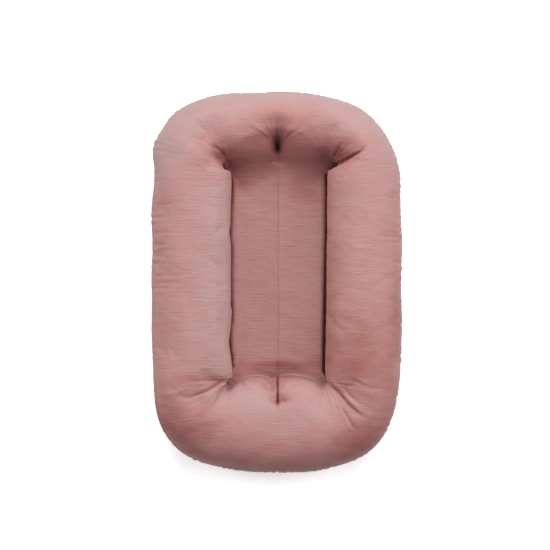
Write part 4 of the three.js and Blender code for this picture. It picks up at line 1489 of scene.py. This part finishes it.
# The ring's own sections drawn in towards their middles, past what the wear has taken off the cover
def innerRing(name, depth, material, cadNodes):
    unworn = refined(puffedRing)
    drop = np.maximum(((unworn - ring) * gridNormals(unworn)).sum(axis=2), 0)
    for _ in range(inner["dropSpread"]):
        drop = np.maximum(drop, np.maximum(np.roll(drop, 1, axis=0), np.roll(drop, -1, axis=0)))
        drop[:, 1:-1] = np.maximum(drop[:, 1:-1], np.maximum(drop[:, 2:], drop[:, :-2]))
    drop = drop[::2, ::2]
    for corner in inner["corners"]:
        cornerAway = np.linalg.norm(puffedRing[..., :2] - corner, axis=2)
        drop += inner["cornerDrop"] * bell(cornerAway, inner["cornerReach"])
    inwards = puffedRing.mean(axis=1, keepdims=True) - puffedRing
    inwards /= np.linalg.norm(inwards, axis=2, keepdims=True)
    surface = puffedRing + inwards * (depth + drop)[..., None]
    tuftAway = np.hypot(surface[..., 0] - tuft["at"][0], surface[..., 1] - tuft["at"][1])
    underTuft = inner["tuftDrop"] * bell(tuftAway, inner["tuftReach"])
    surface[..., 2] -= np.where(surface[..., 2] > lounger["seamHeight"], underTuft, 0)
    surface = surface[:, inner["edgeTrim"] : -inner["edgeTrim"]]
    rows, columns = surface.shape[:2]
    faces = ringFaces(rows, columns).tolist()
    for i in range(rows):
        after = (i + 1) % rows
        faces.append([(i + 1) * columns - 1, (after + 1) * columns - 1, after * columns, i * columns])
    piece = makeMesh(name, surface, faces)
    finishPiece(piece, material, cadNodes)


caseNodes = ["case_top_right", "case_top_left", "case_bottom_right", "case_bottom_left"]
innerRing("calico_case", inner["caseDepth"], plain["calico"], caseNodes)
innerRing("filling", inner["fillingDepth"], plain["fibre"], ["fibre_filling"])


# A layer of the sling, under the lowest of the cover near each of its points. Laid flat it is as wide
# and as long as the well
def slingPanel(name, drop, cadNode):
    height = slingTop[..., 2]
    for _ in range(inner["panelRounds"]):
        for axis in (0, 1):
            beside = np.minimum(np.roll(height, 1, axis=axis), np.roll(height, -1, axis=axis))
            height = np.minimum(height, beside)
    grid = np.concatenate([slingTop[..., :2], height[..., None] - drop], axis=2)
    ends, sides = inner["panelTrim"]
    grid = grid[ends : -ends : inner["panelSteps"][0], sides : -sides : inner["panelSteps"][1]]
    piece = makeMesh(name, grid, gridFaces(*grid.shape[:2]).tolist())
    padOut(piece, inner["panelThickness"])
    finishPiece(piece, plain["calico"], [cadNode])


slingPanel("sling_panel_top", inner["upperPanelBelow"], "sling_panel_upper")
slingPanel("sling_panel_under", inner["lowerPanelBelow"], "sling_panel_lower")

# The zip's solids stay as they are, with their materials
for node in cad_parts:
    name = node if isinstance(node, str) else node["name"]
    if name.startswith("zip_"):
        kind = next((word for word in ("tape", "teeth") if word in name), "metal")
        piece = bpy.data.objects[name]
        piece.data.materials.clear()
        piece.data.materials.append(plain[kind])

print("lounger: floor, lights and camera")
# Colours and strengths of 1 and more show white; powers are in watts, sizes and places in metres
studio = {
    "floorHalf": 6,
    "floorColour": 0.35,
    "mirroredFloor": 1.0,
    "seenFloor": 2.05,
    "world": 0.32,
    "headLight": {"power": 120, "size": (4, 1.8), "at": (0.3, 3.0, 2.85)},
    "rightLight": {"power": 58, "size": (2.4, 1.6), "at": (3.4, 0.6, 2.2)},
    "leftLight": {"power": 50, "size": (2.4, 1.6), "at": (-3.4, 0.6, 2.2)},
}


def makeFloor():
    far = studio["floorHalf"]
    corners = [(-far, -far, 0), (far, -far, 0), (far, far, 0), (-far, far, 0)]
    floor = makeMesh("floor", corners, [[0, 1, 2, 3]])
    material = newMaterial("plain pale floor")
    rays = addNode(material, "ShaderNodeLightPath")
    inputs = {0: rays.outputs["Is Glossy Ray"], 1: rays.outputs["Is Transmission Ray"]}
    mirrored = addNode(material, "ShaderNodeMath", inputs, operation="MAXIMUM")
    greys = [[studio[key]] * 3 + [1] for key in ("floorColour", "mirroredFloor", "seenFloor")]
    real, mirrorWhite, shown = greys
    inputs = {"Factor": mirrored.outputs[0], "A": real, "B": mirrorWhite}
    colour = addNode(material, "ShaderNodeMix", inputs, data_type="RGBA")
    inputs = {"Factor": rays.outputs["Is Camera Ray"], "A": colour.outputs[2], "B": shown}
    colour = addNode(material, "ShaderNodeMix", inputs, data_type="RGBA")
    matt = addNode(material, "ShaderNodeBsdfDiffuse", {"Color": colour.outputs[2]})
    addNode(material, "ShaderNodeOutputMaterial", {"Surface": matt.outputs[0]})
    floor.data.materials.append(material)


def makeWorld():
    world = bpy.data.worlds.new("studio")
    bpy.context.scene.world = world
    world.use_nodes = True
    world.node_tree.nodes.clear()
    rays = addNode(world, "ShaderNodeLightPath")
    seen = rays.outputs["Is Camera Ray"]
    for kind in ("Is Glossy Ray", "Is Transmission Ray"):
        either = addNode(world, "ShaderNodeMath", {0: seen, 1: rays.outputs[kind]}, operation="MAXIMUM")
        seen = either.outputs[0]
    inputs = {"Factor": seen, "A": studio["world"], "B": 1.0}
    strength = addNode(world, "ShaderNodeMix", inputs, data_type="FLOAT")
    light = addNode(world, "ShaderNodeBackground", {"Color": (1, 1, 1, 1), "Strength": strength.outputs[0]})
    addNode(world, "ShaderNodeOutputWorld", {"Surface": light.outputs[0]})


def makeLight(name):
    lamp = bpy.data.lights.new(name, "AREA")
    lamp.shape = "RECTANGLE"
    lamp.energy = studio[name]["power"]
    lamp.size, lamp.size_y = studio[name]["size"]
    light = bpy.data.objects.new(name, lamp)
    bpy.context.collection.objects.link(light)
    light.location = studio[name]["at"]
    light.rotation_euler = (-light.location).to_track_quat("-Z", "Y").to_euler()


def makeCamera():
    lens = bpy.data.cameras.new("camera")
    lens.lens = photo["lens"]
    lens.sensor_width = photo["sensor"]
    lens.clip_end = photo["clipEnd"]
    camera = bpy.data.objects.new("camera", lens)
    bpy.context.collection.objects.link(camera)
    camera.location = (photo["over"][0], photo["over"][1], photo["distance"] + photo["scaleHeight"])
    bpy.context.scene.camera = camera


makeFloor()
makeWorld()
for name in ("headLight", "rightLight", "leftLight"):
    makeLight(name)
makeCamera()
bpy.context.scene.view_settings.view_transform = "Standard"
